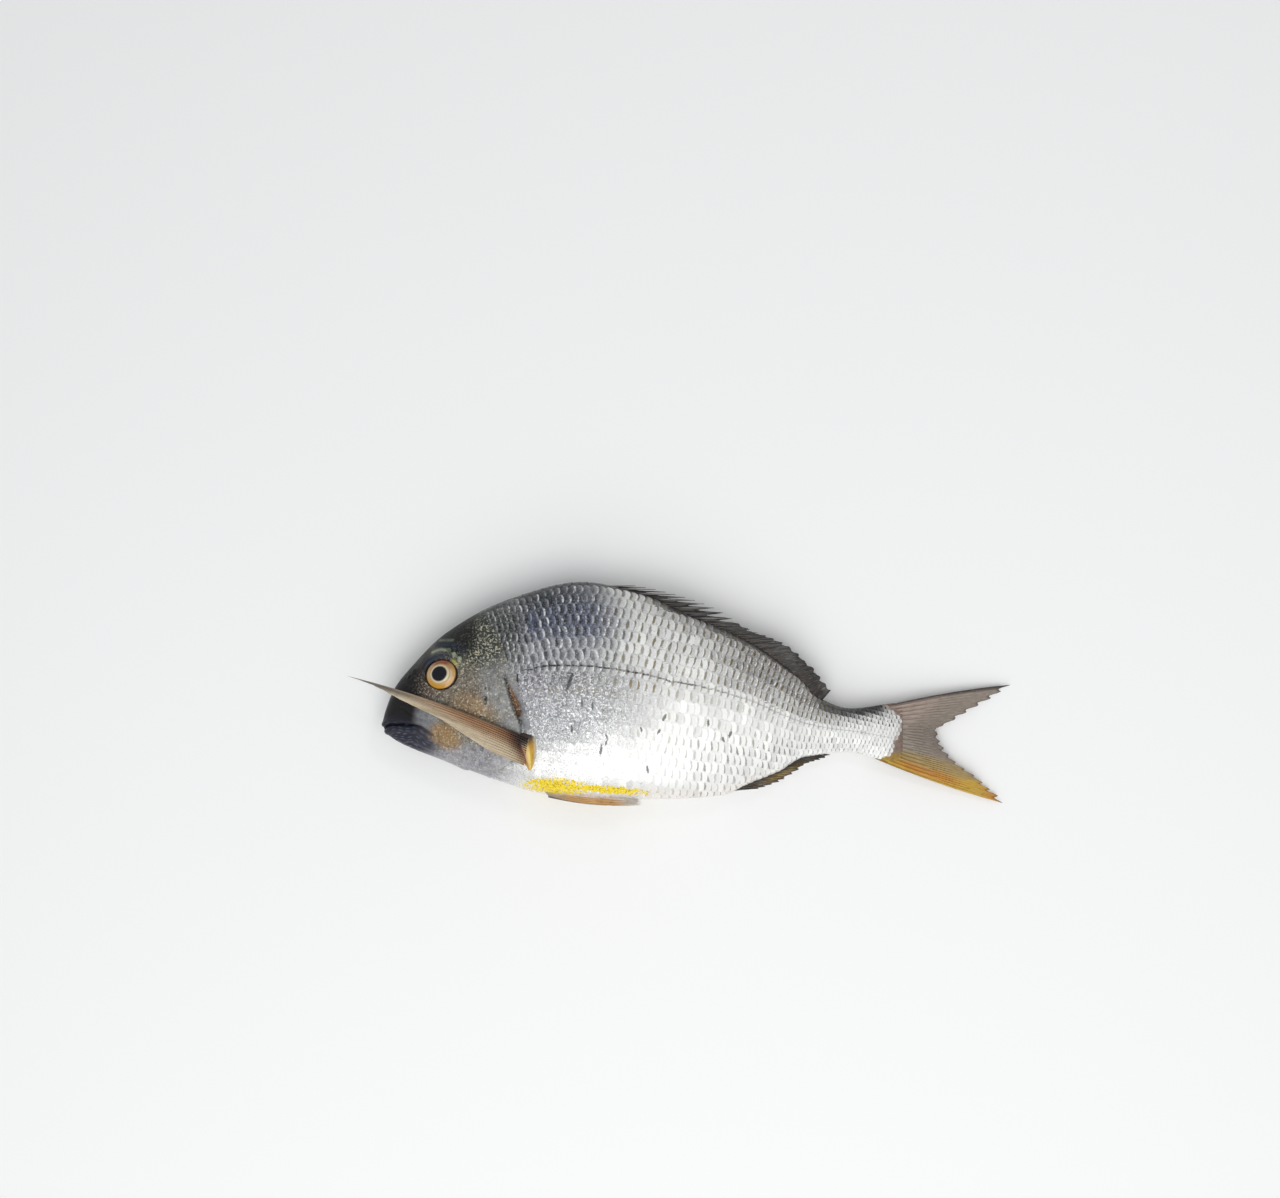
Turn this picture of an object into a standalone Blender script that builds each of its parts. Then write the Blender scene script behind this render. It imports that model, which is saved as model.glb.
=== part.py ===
"""A whole raw sea bream, lying on its right side with its left flank up.

Metres, +Z up. +X runs from the snout to the tail and +Y from the belly to the back. The origin is at the
bottom centre of the fish's box, so the slab it lies on is Z = 0. Head, trunk and all seven fins are one
solid, as on the real fish, and each eye is a ball of its own in its socket.

The shape is worked out in the side view. A place on the fish is a share of the standard length behind the
snout ("along") and a share of the body's depth above the axis ("up"), which runs through the mouth and the
fork of the tail.
"""

import bisect
import math

import bmesh
import bpy
from mathutils import Vector

MM = 0.001

# Driving dimensions
STANDARD_LENGTH = 205 * MM  # snout to the end of the fleshy tail stalk
BODY_DEPTH = 86.6 * MM  # back to belly, where the fish is deepest
BODY_WIDTH = 36 * MM  # flank to flank, where it is widest
EYE_LENGTH = 13.4 * MM
EYE_HEIGHT = 12.8 * MM
RAY_THICKNESS = 1.2 * MM

# The box of the whole fish, in shares, which sets the origin
FIN_TIP_ALONG, TAIL_TIP_ALONG = -0.066, 1.239
TAIL_LOWEST_UP, CREST_UP = -0.333, 0.706
SNOUT_X = -STANDARD_LENGTH * (FIN_TIP_ALONG + TAIL_TIP_ALONG) / 2
AXIS_Y = -BODY_DEPTH * (TAIL_LOWEST_UP + CREST_UP) / 2

# Mesh detail
SECTIONS, AROUND = 45, 34
FIN_ROWS = 4


def spline(points):
    """A smooth curve y(x) through the points that doesn't overshoot between them."""
    xs, ys = zip(*points)
    steps = [(ys[i + 1] - ys[i]) / (xs[i + 1] - xs[i]) for i in range(len(xs) - 1)]
    inner = [2 * a * b / (a + b) if a * b > 0 else 0.0 for a, b in zip(steps, steps[1:])]
    slopes = [steps[0], *inner, steps[-1]]

    def value(x):
        x = min(max(x, xs[0]), xs[-1])
        i = min(bisect.bisect_right(xs, x), len(xs) - 1) - 1
        h = xs[i + 1] - xs[i]
        t = (x - xs[i]) / h
        start = (1 + 2 * t) * (1 - t) ** 2 * ys[i] + t * (1 - t) ** 2 * h * slopes[i]
        end = t * t * (3 - 2 * t) * ys[i + 1] - t * t * (1 - t) * h * slopes[i + 1]
        return start + end

    return value


def blunt(points):
    """As spline, but in the square root of the share along, which rounds the snout."""
    curve = spline([(math.sqrt(along), y) for along, y in points])
    return lambda along: curve(math.sqrt(max(along, 0.0)))


# ---------------------------------------------------------------- the trunk and head

# Outline of the flesh in the side view, as shares of the depth above the axis
back_share = blunt(
    [(0, 0.053), (0.005, 0.114), (0.023, 0.217), (0.058, 0.321), (0.122, 0.469), (0.254, 0.633),
     (0.39, CREST_UP), (0.488, 0.665), (0.605, 0.545), (0.717, 0.427), (0.805, 0.282), (0.854, 0.169),
     (0.917, 0.118), (1, 0.141)]
)
belly_share = blunt(
    [(0, 0.053), (0.016, -0.01), (0.063, -0.067), (0.122, -0.119), (0.227, -0.21), (0.318, -0.272),
     (0.43, -0.293), (0.56, -0.293), (0.663, -0.278), (0.711, -0.228), (0.773, -0.17), (0.825, -0.104),
     (0.917, -0.085), (0.966, -0.118), (1, -0.145)]
)
# Up the flank, the level at which each section is widest, and how wide it is there
level_share = spline(
    [(0, 0.053), (0.08, 0.11), (0.17, 0.15), (0.39, 0.16), (0.66, 0.11), (0.85, 0.03), (1, 0.005)]
)
width_share = blunt(
    [(0, 0), (0.024, 0.25), (0.078, 0.49), (0.171, 0.77), (0.254, 0.92), (0.39, 1), (0.56, 0.92),
     (0.707, 0.63), (0.84, 0.34), (0.927, 0.23), (0.985, 0.15), (1.02, 0.05)]
)
# Height of the fish's middle plane over the slab: the tail stalk and the tail fin sag
sag = spline([(0, 15.2), (0.15, 16.2), (0.55, 16.4), (0.75, 14.2), (0.9, 9.6), (1, 7), (1.225, 1.5)])
FLESH_END = 1.02
BACK_TAPER = 1.25  # over 1 narrows the section towards the ridge
BELLY_TAPER = 1.0
PRESS_BLEND = 0.8 * MM  # how gently the flank meets the slab it is pressed flat on


def place(along, up):
    """X and Y of a place in the side view."""
    return SNOUT_X + along * STANDARD_LENGTH, AXIS_Y + up * BODY_DEPTH


def middle(along):
    """Height of the fish's middle plane over the slab."""
    return sag(along) * MM


def flank(along, up):
    """Half the thickness of the flesh at a place in the side view, nought outside its outline."""
    level = level_share(along)
    edge, taper = (back_share(along), BACK_TAPER) if up > level else (belly_share(along), BELLY_TAPER)
    reach = abs(edge - level)
    if reach < 1e-6 or abs(up - level) >= reach:
        return 0.0
    across = math.sqrt(1 - ((up - level) / reach) ** 2)
    return width_share(along) * BODY_WIDTH / 2 * across**taper


def pressed(height):
    """The flesh under the slab's level is pressed flat on it, and blends into the round flank."""
    if height >= PRESS_BLEND:
        return height
    return max(height + PRESS_BLEND, 0.0) ** 2 / (4 * PRESS_BLEND)


def skin_point(along, angle):
    """A point on the skin. Angle 0 is the left flank, a quarter turn the back, half a turn the right."""
    level = level_share(along)
    rise = math.sin(angle)
    edge = back_share(along) if rise > 0 else belly_share(along)
    up = level + (edge - level) * abs(rise)
    taper = BACK_TAPER if rise > 0 else BELLY_TAPER
    half = width_share(along) * BODY_WIDTH / 2 * abs(math.cos(angle)) ** taper
    x, y = place(along, up)
    return Vector((x, y, pressed(middle(along) + math.copysign(half, math.cos(angle)))))


def surface(along, up, side):
    """The point on the skin of the left (side 1) or right (side -1) flank at a place in the side view."""
    x, y = place(along, up)
    return Vector((x, y, pressed(middle(along) + side * flank(along, up))))


def normal_at(along, up, side):
    """The direction out of that flank there, from the slope of the skin."""
    step = 0.01
    forward = surface(along + step, up, side) - surface(along - step, up, side)
    upward = surface(along, up + step, side) - surface(along, up - step, side)
    return (forward.cross(upward) * side).normalized()


def build_body():
    """A ball whose rings are moved to the fish's sections, closer together towards the snout."""
    bm = bmesh.new()
    bmesh.ops.create_uvsphere(bm, u_segments=AROUND, v_segments=SECTIONS, radius=1)
    for vert in bm.verts:
        turn = math.acos(max(-1.0, min(1.0, vert.co.z))) / math.pi
        along = FLESH_END * min(1.0, turn * SECTIONS / (SECTIONS - 1)) ** 1.5
        vert.co = skin_point(along, math.atan2(vert.co.y, vert.co.x))
    bmesh.ops.recalc_face_normals(bm, faces=bm.faces)
    return bm


# ---------------------------------------------------------------- fins


def build_fin(name, ray_end, rays, thickness=RAY_THICKNESS, notch=lambda share: 0.06):
    """A fin as a sheet of rays and the thinner web between them, given its thickness by Solidify.

    ray_end(share, reach) is the point at that share of the way across the fin, from its first ray to its
    last, and at that reach out along the ray. The web ends short of the ray tips by the notch.
    """
    columns = 2 * rays - 1
    bm = bmesh.new()
    bmesh.ops.create_grid(bm, x_segments=columns - 1, y_segments=FIN_ROWS, size=1)
    stiff = {}
    for vert in bm.verts:
        column = round((vert.co.x + 1) / 2 * (columns - 1))
        row = round((vert.co.y + 1) / 2 * FIN_ROWS)
        share, reach = column / (columns - 1), row / FIN_ROWS
        on_web = column % 2
        stiff[vert.index] = (0.5 if on_web else 1.0) * (1 - 0.45 * reach)
        vert.co = ray_end(share, reach * (1 - notch(share) * on_web))
    fin = new_object(name, bm, "fins")
    group = fin.vertex_groups.new(name="thickness")
    for index, weight in stiff.items():
        group.add([index], weight, "REPLACE")
    solid = fin.modifiers.new("thickness", "SOLIDIFY")
    solid.thickness = thickness
    solid.offset = 0
    solid.vertex_group = group.name
    return fin


def fan(root, tip, height, bow=lambda share: 0.0):
    """Rays from root(share) to tip(share) in the side view, at the height(along, up, share, reach)."""

    def ray_end(share, reach):
        (along, up), (tip_along, tip_up) = root(share), tip(share)
        along += (tip_along - along) * reach
        up += (tip_up - up) * reach + bow(share) * 4 * reach * (1 - reach)
        x, y = place(along, up)
        return Vector((x, y, height(along, up, share, reach)))

    return ray_end


def mix(a, b, share):
    return a + (b - a) * share


TAIL_ROOT_ALONG = 0.965
TAIL_ROOT_UPS = 0.118, -0.118
TAIL_TIP_UPS = 0.224, TAIL_LOWEST_UP  # of the upper and lower lobe
TAIL_BOW = 0.012
tail_edge = spline(
    [(TAIL_LOWEST_UP, 1.223), (-0.3, 1.215), (-0.264, 1.197), (-0.21, 1.172), (-0.157, 1.139), (-0.12, 1.121),
     (-0.066, 1.103), (-0.019, 1.094), (0.017, 1.093), (0.042, 1.113), (0.114, 1.164), (0.174, 1.21),
     (0.224, TAIL_TIP_ALONG)]
)


def build_tail_fin():
    """The forked tail fin, whose rays fan out from the end of the flesh and sag with it."""

    def root(share):
        return TAIL_ROOT_ALONG, mix(*TAIL_ROOT_UPS, share)

    def tip(share):
        up = mix(*TAIL_TIP_UPS, share)
        return tail_edge(up), up

    ray_end = fan(root, tip, lambda along, *_: middle(along), bow=lambda share: TAIL_BOW * (1 - 2 * share))
    return build_fin("tail_fin", ray_end, rays=18)


DORSAL_SPINES, DORSAL_RAYS = 11, 24  # the rays count the spines
DORSAL_ALONGS = 0.385, 0.856
SPINE_LEAN = 0.35 * MM
dorsal_reach = spline(
    [(0.385, 0.107), (0.483, 0.102), (0.61, 0.088), (0.722, 0.066), (0.795, 0.049), (0.856, 0.021)]
)
dorsal_edge = spline(
    [(0.4, 0.7095), (0.49, 0.69), (0.585, 0.638), (0.644, 0.588), (0.697, 0.515), (0.725, 0.478),
     (0.758, 0.452), (0.79, 0.416), (0.815, 0.37), (0.844, 0.306), (0.863, 0.245), (0.876, 0.204)]
)


def build_dorsal_fin():
    """The dorsal fin, folded down: its spines lie back turn about to the left and right of the ridge."""

    def root(share):
        along = mix(*DORSAL_ALONGS, share)
        return along, back_share(along) - 0.02

    def tip(share):
        along = root(share)[0]
        along += dorsal_reach(along)
        return along, dorsal_edge(along)

    def height(along, up, share, reach):
        lean = math.cos(math.pi * share * (DORSAL_RAYS - 1)) * SPINE_LEAN * reach
        return middle(along) + lean * (share < DORSAL_SPINES / DORSAL_RAYS)

    def notch(share):
        return 0.3 if share < DORSAL_SPINES / DORSAL_RAYS else 0.1

    return build_fin("dorsal_fin", fan(root, tip, height), rays=DORSAL_RAYS, notch=notch)


ANAL_ALONGS = 0.672, 0.838
anal_reach = spline([(0.672, 0.062), (0.75, 0.058), (0.838, 0.038)])
anal_edge = spline(
    [(0.69, -0.274), (0.745, -0.243), (0.786, -0.206), (0.807, -0.173), (0.832, -0.134), (0.865, -0.113),
     (0.876, -0.096)]
)


def build_anal_fin():
    """The anal fin, folded back against the belly behind the vent."""

    def root(share):
        along = mix(*ANAL_ALONGS, share)
        return along, belly_share(along) + 0.016

    def tip(share):
        along = root(share)[0]
        along += anal_reach(along)
        return along, anal_edge(along)

    return build_fin("anal_fin", fan(root, tip, lambda along, *_: middle(along)), rays=13)


PELVIC_ROOTS = (0.345, -0.289), (0.322, -0.262)
PELVIC_TIPS = (0.507, -0.3165), (0.505, -0.289)
PELVIC_OFFSET = 4.2 * MM  # of each pelvic fin from the middle plane


def build_pelvic_fin(name, side):
    """A pelvic fin, folded back along the belly."""

    def between(ends):
        return lambda share: tuple(mix(a, b, share) for a, b in zip(*ends))

    ray_end = fan(
        between(PELVIC_ROOTS),
        between(PELVIC_TIPS),
        lambda along, *_: middle(along) + side * PELVIC_OFFSET,
        bow=lambda share: -0.006 * (1 - share),
    )
    return build_fin(name, ray_end, rays=6, notch=lambda share: 0.04)


PECTORAL_RAYS = 14
PECTORAL_ROOT_ALONG = 0.289
PECTORAL_ROOT_UPS = 0.002, -0.122
pectoral_edge = spline(
    [(FIN_TIP_ALONG, 0.275), (-0.012, 0.226), (0.043, 0.152), (0.117, 0.055), (0.158, -0.007),
     (0.226, -0.088), (0.278, -0.13)]
)
pectoral_lift = spline(
    [(FIN_TIP_ALONG, 20.5), (0.04, 25.6), (0.1, 28.8), (0.17, 31.4), (0.23, 33.0), (0.29, 33.4)]
)
FOLDED_BACK_TIP = 0.645, -0.03


def build_left_pectoral_fin():
    """The left pectoral fin, flipped forward over the cheek, so that its long upper rays pass the snout."""

    def root(share):
        return PECTORAL_ROOT_ALONG - 0.008 * share, mix(*PECTORAL_ROOT_UPS, share)

    def tip(share):
        along = mix(FIN_TIP_ALONG, 0.226, share**0.85)
        return along, pectoral_edge(along)

    def height(along, up, share, reach):
        return pectoral_lift(along) * MM

    ray_end = fan(root, tip, height, bow=lambda share: 0.022 * (1 - share))
    return build_fin("left_pectoral_fin", ray_end, rays=PECTORAL_RAYS, notch=lambda share: 0.03)


def build_right_pectoral_fin():
    """The right pectoral fin, folded back in its usual place and pressed flat under the fish."""

    def root(share):
        return PECTORAL_ROOT_ALONG, mix(*PECTORAL_ROOT_UPS, share)

    def tip(share):
        along = mix(FOLDED_BACK_TIP[0], 0.4, share**0.7)
        return along, mix(FOLDED_BACK_TIP[1], -0.17, share)

    def height(along, up, share, reach):
        lies_at = middle(along) - flank(along, up)
        return max(lies_at, RAY_THICKNESS / 2)

    ray_end = fan(root, tip, height)
    return build_fin("right_pectoral_fin", ray_end, rays=PECTORAL_RAYS, notch=lambda share: 0.03)


PECTORAL_BASE_SIZE = Vector((4.2, 7.4, 2.6)) * MM  # half axes of the fleshy lobe


def build_pectoral_base(name, side):
    """The fleshy lobe that a pectoral fin grows from, behind the gill cover."""
    along, up = PECTORAL_ROOT_ALONG - 0.002, sum(PECTORAL_ROOT_UPS) / 2
    bm = bmesh.new()
    bmesh.ops.create_uvsphere(bm, u_segments=16, v_segments=10, radius=1)
    bmesh.ops.scale(bm, vec=PECTORAL_BASE_SIZE, verts=bm.verts)
    centre = surface(along, up, side)
    if side < 0:
        centre.z = max(centre.z, PECTORAL_BASE_SIZE.z)
    bmesh.ops.translate(bm, vec=centre, verts=bm.verts)
    return new_object(name, bm, "fins")


# ---------------------------------------------------------------- what is cut into the head

GROOVE_RADIUS = 0.55 * MM
GILL_EDGE = (
    (0.247, 0.307), (0.257, 0.217), (0.27, 0.104), (0.278, 0.013), (0.266, -0.077), (0.224, -0.15),
    (0.155, -0.13),
)
MOUTH_LINE = (0.002, 0.03), (0.018, 0.05), (0.045, 0.053), (0.073, 0.047), (0.09, 0.027), (0.102, 0.005)
NOSTRIL = 0.056, 0.262
SOCKET_GAP = 0.35 * MM


def groove(name, points, radius=GROOVE_RADIUS):
    """A round cutter along points on the skin: a curve with a bevel, made a closed mesh."""
    data = bpy.data.curves.new(name, "CURVE")
    data.dimensions = "3D"
    data.bevel_depth = radius
    data.bevel_resolution = 1
    data.use_fill_caps = True
    line = data.splines.new("POLY")
    line.points.add(len(points) - 1)
    for spot, point in zip(line.points, points):
        spot.co = (*point, 1)
    curve = bpy.data.objects.new(name + "_line", data)
    bpy.context.scene.collection.objects.link(curve)
    evaluated = curve.evaluated_get(bpy.context.evaluated_depsgraph_get())
    bm = bmesh.new()
    bm.from_mesh(evaluated.to_mesh())
    bmesh.ops.remove_doubles(bm, verts=bm.verts, dist=0.01 * MM)
    bmesh.ops.recalc_face_normals(bm, faces=bm.faces)
    bpy.data.objects.remove(curve)
    return new_object(name, bm, "cutters")


def drawn_on(line, side, steps):
    """Points on the skin along a smooth line through the given places."""
    alongs, ups = (spline(list(enumerate(values))) for values in zip(*line))
    shares = [(len(line) - 1) * i / steps for i in range(steps + 1)]
    return [surface(alongs(t), ups(t), side) for t in shares]


def build_gill_opening(name, side):
    """The slit behind the gill cover, from the shoulder down to the throat."""
    return groove(name, drawn_on(GILL_EDGE, side, 24))


def build_mouth():
    """The shut mouth's line, from the left corner round the front of the jaws to the right corner."""
    left, right = (drawn_on(MOUTH_LINE, side, 10) for side in (1, -1))
    return groove("mouth", left[::-1] + right[1:])


def build_nostril(name, side):
    bm = bmesh.new()
    bmesh.ops.create_uvsphere(bm, u_segments=10, v_segments=6, radius=0.8 * MM)
    bmesh.ops.translate(bm, vec=surface(*NOSTRIL, side), verts=bm.verts)
    return new_object(name, bm, "cutters")


# ---------------------------------------------------------------- the eyes

EYE_PLACE = 0.1195, 0.285
EYE_DEPTH = 7.2 * MM
EYE_SINK = 1.9 * MM  # of the ball's centre under the skin


def eyeball(side, grow=0.0):
    """A flattened ball that faces out of the head, in a socket if it is grown by the gap."""
    bm = bmesh.new()
    bmesh.ops.create_uvsphere(bm, u_segments=20, v_segments=10, radius=0.5)
    size = Vector((EYE_LENGTH, EYE_HEIGHT, EYE_DEPTH)) + Vector((2, 2, 2)) * grow
    bmesh.ops.scale(bm, vec=size, verts=bm.verts)
    normal = normal_at(*EYE_PLACE, side)
    turn = Vector((0, 0, side)).rotation_difference(normal).to_matrix()
    bmesh.ops.rotate(bm, cent=(0, 0, 0), matrix=turn, verts=bm.verts)
    bmesh.ops.translate(bm, vec=surface(*EYE_PLACE, side) - normal * EYE_SINK, verts=bm.verts)
    return bm


# ---------------------------------------------------------------- materials, collections and objects

SKIN = (0.62, 0.64, 0.66), 0.3, 0.6  # colour, roughness, metallic
EYE = (0.72, 0.52, 0.22), 0.12, 0.0


def material(name, colour, roughness, metallic):
    made = bpy.data.materials.new(name)
    made.use_nodes = True
    shader = made.node_tree.nodes["Principled BSDF"]
    shader.inputs["Base Color"].default_value = (*colour, 1)
    shader.inputs["Roughness"].default_value = roughness
    shader.inputs["Metallic"].default_value = metallic
    return made


def new_object(name, bm, collection):
    mesh = bpy.data.meshes.new(name)
    bm.to_mesh(mesh)
    bm.free()
    made = bpy.data.objects.new(name, mesh)
    bpy.data.collections[collection].objects.link(made)
    if collection in HELPERS:
        made.hide_render = True
        made.display_type = "WIRE"
    return made


def boolean(target, operation, collection):
    made = target.modifiers.new(collection, "BOOLEAN")
    made.operation = operation
    made.solver = "EXACT"
    made.operand_type = "COLLECTION"
    made.collection = bpy.data.collections[collection]


OBJECT = "sea_bream"
HELPERS = "fins", "cutters"


def main():
    for old in list(bpy.data.objects):
        bpy.data.objects.remove(old)
    for name in (OBJECT, *HELPERS):
        bpy.context.scene.collection.children.link(bpy.data.collections.new(name))

    build_tail_fin()
    build_dorsal_fin()
    build_anal_fin()
    build_left_pectoral_fin()
    build_right_pectoral_fin()
    build_mouth()
    eye_finish = material("eye", *EYE)
    for label, side in (("left", 1), ("right", -1)):
        build_pelvic_fin(f"{label}_pelvic_fin", side)
        build_pectoral_base(f"{label}_pectoral_base", side)
        build_gill_opening(f"{label}_gill_opening", side)
        build_nostril(f"{label}_nostril", side)
        new_object(f"{label}_socket", eyeball(side, grow=SOCKET_GAP), "cutters")
        eye = new_object(f"{label}_eye", eyeball(side), OBJECT)
        eye.data.materials.append(eye_finish)
        eye.data.shade_smooth()

    fish = new_object("fish", build_body(), OBJECT)
    fish.data.materials.append(material("skin", *SKIN))
    fish.data.shade_smooth()
    boolean(fish, "UNION", "fins")
    boolean(fish, "DIFFERENCE", "cutters")


main()
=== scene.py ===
"""A whole raw sea bream, dressed on its solids: skin, scales, eyes and fins."""

import bpy
import numpy as np
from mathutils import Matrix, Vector


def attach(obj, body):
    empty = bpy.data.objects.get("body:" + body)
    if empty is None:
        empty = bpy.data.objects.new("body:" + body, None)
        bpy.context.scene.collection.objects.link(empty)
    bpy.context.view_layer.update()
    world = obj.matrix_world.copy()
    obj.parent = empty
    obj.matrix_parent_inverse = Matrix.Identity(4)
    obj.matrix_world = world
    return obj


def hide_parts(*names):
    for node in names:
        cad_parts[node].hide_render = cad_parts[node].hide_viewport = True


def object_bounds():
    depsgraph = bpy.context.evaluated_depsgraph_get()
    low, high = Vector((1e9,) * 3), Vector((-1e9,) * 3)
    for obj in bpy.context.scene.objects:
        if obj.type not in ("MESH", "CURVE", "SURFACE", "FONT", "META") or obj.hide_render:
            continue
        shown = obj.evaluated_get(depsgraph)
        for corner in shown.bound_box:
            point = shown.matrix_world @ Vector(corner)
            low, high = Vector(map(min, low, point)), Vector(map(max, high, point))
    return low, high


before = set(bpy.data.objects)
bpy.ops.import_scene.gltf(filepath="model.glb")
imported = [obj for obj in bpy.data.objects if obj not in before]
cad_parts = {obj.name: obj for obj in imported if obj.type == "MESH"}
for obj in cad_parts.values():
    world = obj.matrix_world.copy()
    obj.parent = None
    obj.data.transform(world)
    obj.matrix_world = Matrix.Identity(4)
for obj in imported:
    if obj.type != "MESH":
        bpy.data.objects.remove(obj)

cad_low, cad_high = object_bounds()
MM = 0.001

# ------------------------------------------------------------------------------------ slab, camera and light
# The fish lies on a plain pale slab and is seen from straight above, at arm's length. One broad soft light
# hangs over the belly's side, so that the flank and belly shine and the back stays dark.

FISH_SHARE = 0.5226  # of the view's width
RIGHT_OF_MIDDLE, BELOW_MIDDLE = 0.034, 0.0747  # where the fish lies in the view, as shares of its width
LENS, FILM = 50, 36
MIDDLE_HEIGHT = 16 * MM  # of the fish, which the camera is set for
SLAB_SIZE = 4.0
SLAB_DROP = 0.2 * MM  # under the fish, so that their faces never meet
SLAB_COLOUR, SLAB_ROUGHNESS = (0.93, 0.93, 0.92, 1), 0.8
SKY_COLOUR, SKY_STRENGTH = (0.95, 0.97, 1, 1), 0.42
SOFTBOXES = (  # name, place, the place that it is turned towards, size and power
    ("overhead", (0.05, -0.35, 1.25), (0, 0, 0), 1.1, 9),
    ("belly_side", (-0.1, -1.0, 0.75), (0, 0, 0), 0.7, 3),
    ("glint", (0.35, 0.45, 0.9), (0, 0.02, 0), 0.12, 0.5),
)

scene = bpy.context.scene
scene.view_settings.view_transform = "Standard"
centre = (cad_low + cad_high) / 2
view_width = (cad_high.x - cad_low.x) / FISH_SHARE
camera = bpy.data.objects.new("camera", bpy.data.cameras.new("camera"))
camera.data.lens = LENS
camera.data.sensor_width = FILM
camera.location = (
    centre.x - RIGHT_OF_MIDDLE * view_width,
    centre.y + BELOW_MIDDLE * view_width,
    MIDDLE_HEIGHT + view_width * LENS / FILM,
)
scene.collection.objects.link(camera)
scene.camera = camera

world = bpy.data.worlds.new("studio")
world.use_nodes = True
sky = world.node_tree.nodes["Background"].inputs
sky["Color"].default_value = SKY_COLOUR
sky["Strength"].default_value = SKY_STRENGTH
scene.world = world

for name, hung_at, aim, size, power in SOFTBOXES:
    light = bpy.data.objects.new(name, bpy.data.lights.new(name, "AREA"))
    light.data.size = size
    light.data.energy = power
    light.location = hung_at
    light.rotation_euler = (Vector(aim) - Vector(hung_at)).to_track_quat("-Z", "Y").to_euler()
    scene.collection.objects.link(light)

slab_mesh = bpy.data.meshes.new("slab")
half = SLAB_SIZE / 2
slab_mesh.from_pydata(
    [(x, y, -SLAB_DROP) for x, y in ((-half, -half), (half, -half), (half, half), (-half, half))],
    [], [(0, 1, 2, 3)],
)
slab = bpy.data.objects.new("slab", slab_mesh)
scene.collection.objects.link(slab)
slab_finish = bpy.data.materials.new("slab")
slab_finish.use_nodes = True
slab_sockets = slab_finish.node_tree.nodes["Principled BSDF"].inputs
slab_sockets["Base Color"].default_value = SLAB_COLOUR
slab_sockets["Roughness"].default_value = SLAB_ROUGHNESS
slab.data.materials.append(slab_finish)

# ---------------------------------------------------------------------------------------- skin of the body
# Head and trunk are one wet silver skin, dark along the back, drawn over the skull in front and over muscle
# behind. It is built as rings along the fish, and its bones, folds and openings are then raised or sunk.
# A place is a share of the length behind the snout ("along") and of the depth above the axis ("up").

FIN_TIP_ALONG, TAIL_TIP_ALONG = -0.066, 1.239
TAIL_LOWEST_UP, CREST_UP = -0.333, 0.706
BODY_WIDTH = 36 * MM
BODY_LENGTH = (cad_high.x - cad_low.x) / (TAIL_TIP_ALONG - FIN_TIP_ALONG)
BODY_DEPTH = (cad_high.y - cad_low.y) / (CREST_UP - TAIL_LOWEST_UP)
SNOUT_X = cad_low.x - FIN_TIP_ALONG * BODY_LENGTH
AXIS_Y = cad_low.y - TAIL_LOWEST_UP * BODY_DEPTH


def spline(points):
    """A smooth curve y(x) through the points that doesn't overshoot between them."""
    xs, ys = np.array(points, float).T
    steps = np.diff(ys) / np.diff(xs)
    product = steps[:-1] * steps[1:]
    total = np.where(product > 0, steps[:-1] + steps[1:], 1)
    slopes = np.concatenate([steps[:1], np.where(product > 0, 2 * product / total, 0), steps[-1:]])

    def value(x):
        x = np.clip(x, xs[0], xs[-1])
        i = np.clip(np.searchsorted(xs, x, side="right") - 1, 0, len(xs) - 2)
        h = xs[i + 1] - xs[i]
        t = (x - xs[i]) / h
        start = (1 + 2 * t) * (1 - t) ** 2 * ys[i] + t * (1 - t) ** 2 * h * slopes[i]
        return start + t * t * (3 - 2 * t) * ys[i + 1] - t * t * (1 - t) * h * slopes[i + 1]

    return value


def blunt(points):
    """As spline, but in the square root of the share along, which rounds the snout."""
    curve = spline([(along**0.5, y) for along, y in points])
    return lambda along: curve(np.sqrt(np.maximum(along, 0)))


back_share = blunt(
    [(0, 0.053), (0.005, 0.114), (0.023, 0.217), (0.058, 0.321), (0.122, 0.469), (0.254, 0.633),
     (0.39, CREST_UP), (0.488, 0.665), (0.605, 0.545), (0.717, 0.427), (0.805, 0.282), (0.854, 0.169),
     (0.917, 0.118), (1, 0.141)]
)
belly_share = blunt(
    [(0, 0.053), (0.016, -0.01), (0.063, -0.067), (0.122, -0.119), (0.227, -0.21), (0.318, -0.272),
     (0.43, -0.293), (0.56, -0.293), (0.663, -0.278), (0.711, -0.228), (0.773, -0.17), (0.825, -0.104),
     (0.917, -0.085), (0.966, -0.118), (1, -0.145)]
)
level_share = spline(
    [(0, 0.053), (0.08, 0.11), (0.17, 0.15), (0.39, 0.16), (0.66, 0.11), (0.85, 0.03), (1, 0.005)]
)
width_share = blunt(
    [(0, 0), (0.024, 0.25), (0.078, 0.49), (0.171, 0.77), (0.254, 0.92), (0.39, 1), (0.56, 0.92),
     (0.707, 0.63), (0.84, 0.34), (0.927, 0.23), (0.985, 0.15), (1.02, 0.05)]
)
sag = spline([(0, 15.2), (0.15, 16.2), (0.55, 16.4), (0.75, 14.2), (0.9, 9.6), (1, 7), (1.225, 1.5)])
FLESH_END = 1.02
BACK_TAPER, BELLY_TAPER = 1.25, 1.0  # over 1 narrows a section towards its edge
PRESS_BLEND = 0.8 * MM  # how gently the flank meets the slab that it is pressed flat on
SCALE_ROOM = 0.3 * MM  # between the slab and the skin that is pressed down on it
FIN_ROOM = 1.6 * MM  # the same where the right pectoral fin lies between them
FOLDED_FIN = [(0.275, -0.13), (0.4, -0.185), (0.645, -0.05), (0.66, -0.02), (0.45, 0.012), (0.275, 0.012),
              (0.275, -0.13)]  # round the right pectoral fin


def middle(along):
    """Height of the fish's middle plane over the slab, from which the tail sags."""
    return sag(along) * MM


def place(along, up, height):
    """The point in space at a place."""
    return np.stack(np.broadcast_arrays(SNOUT_X + along * BODY_LENGTH, AXIS_Y + up * BODY_DEPTH, height), -1)


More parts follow.
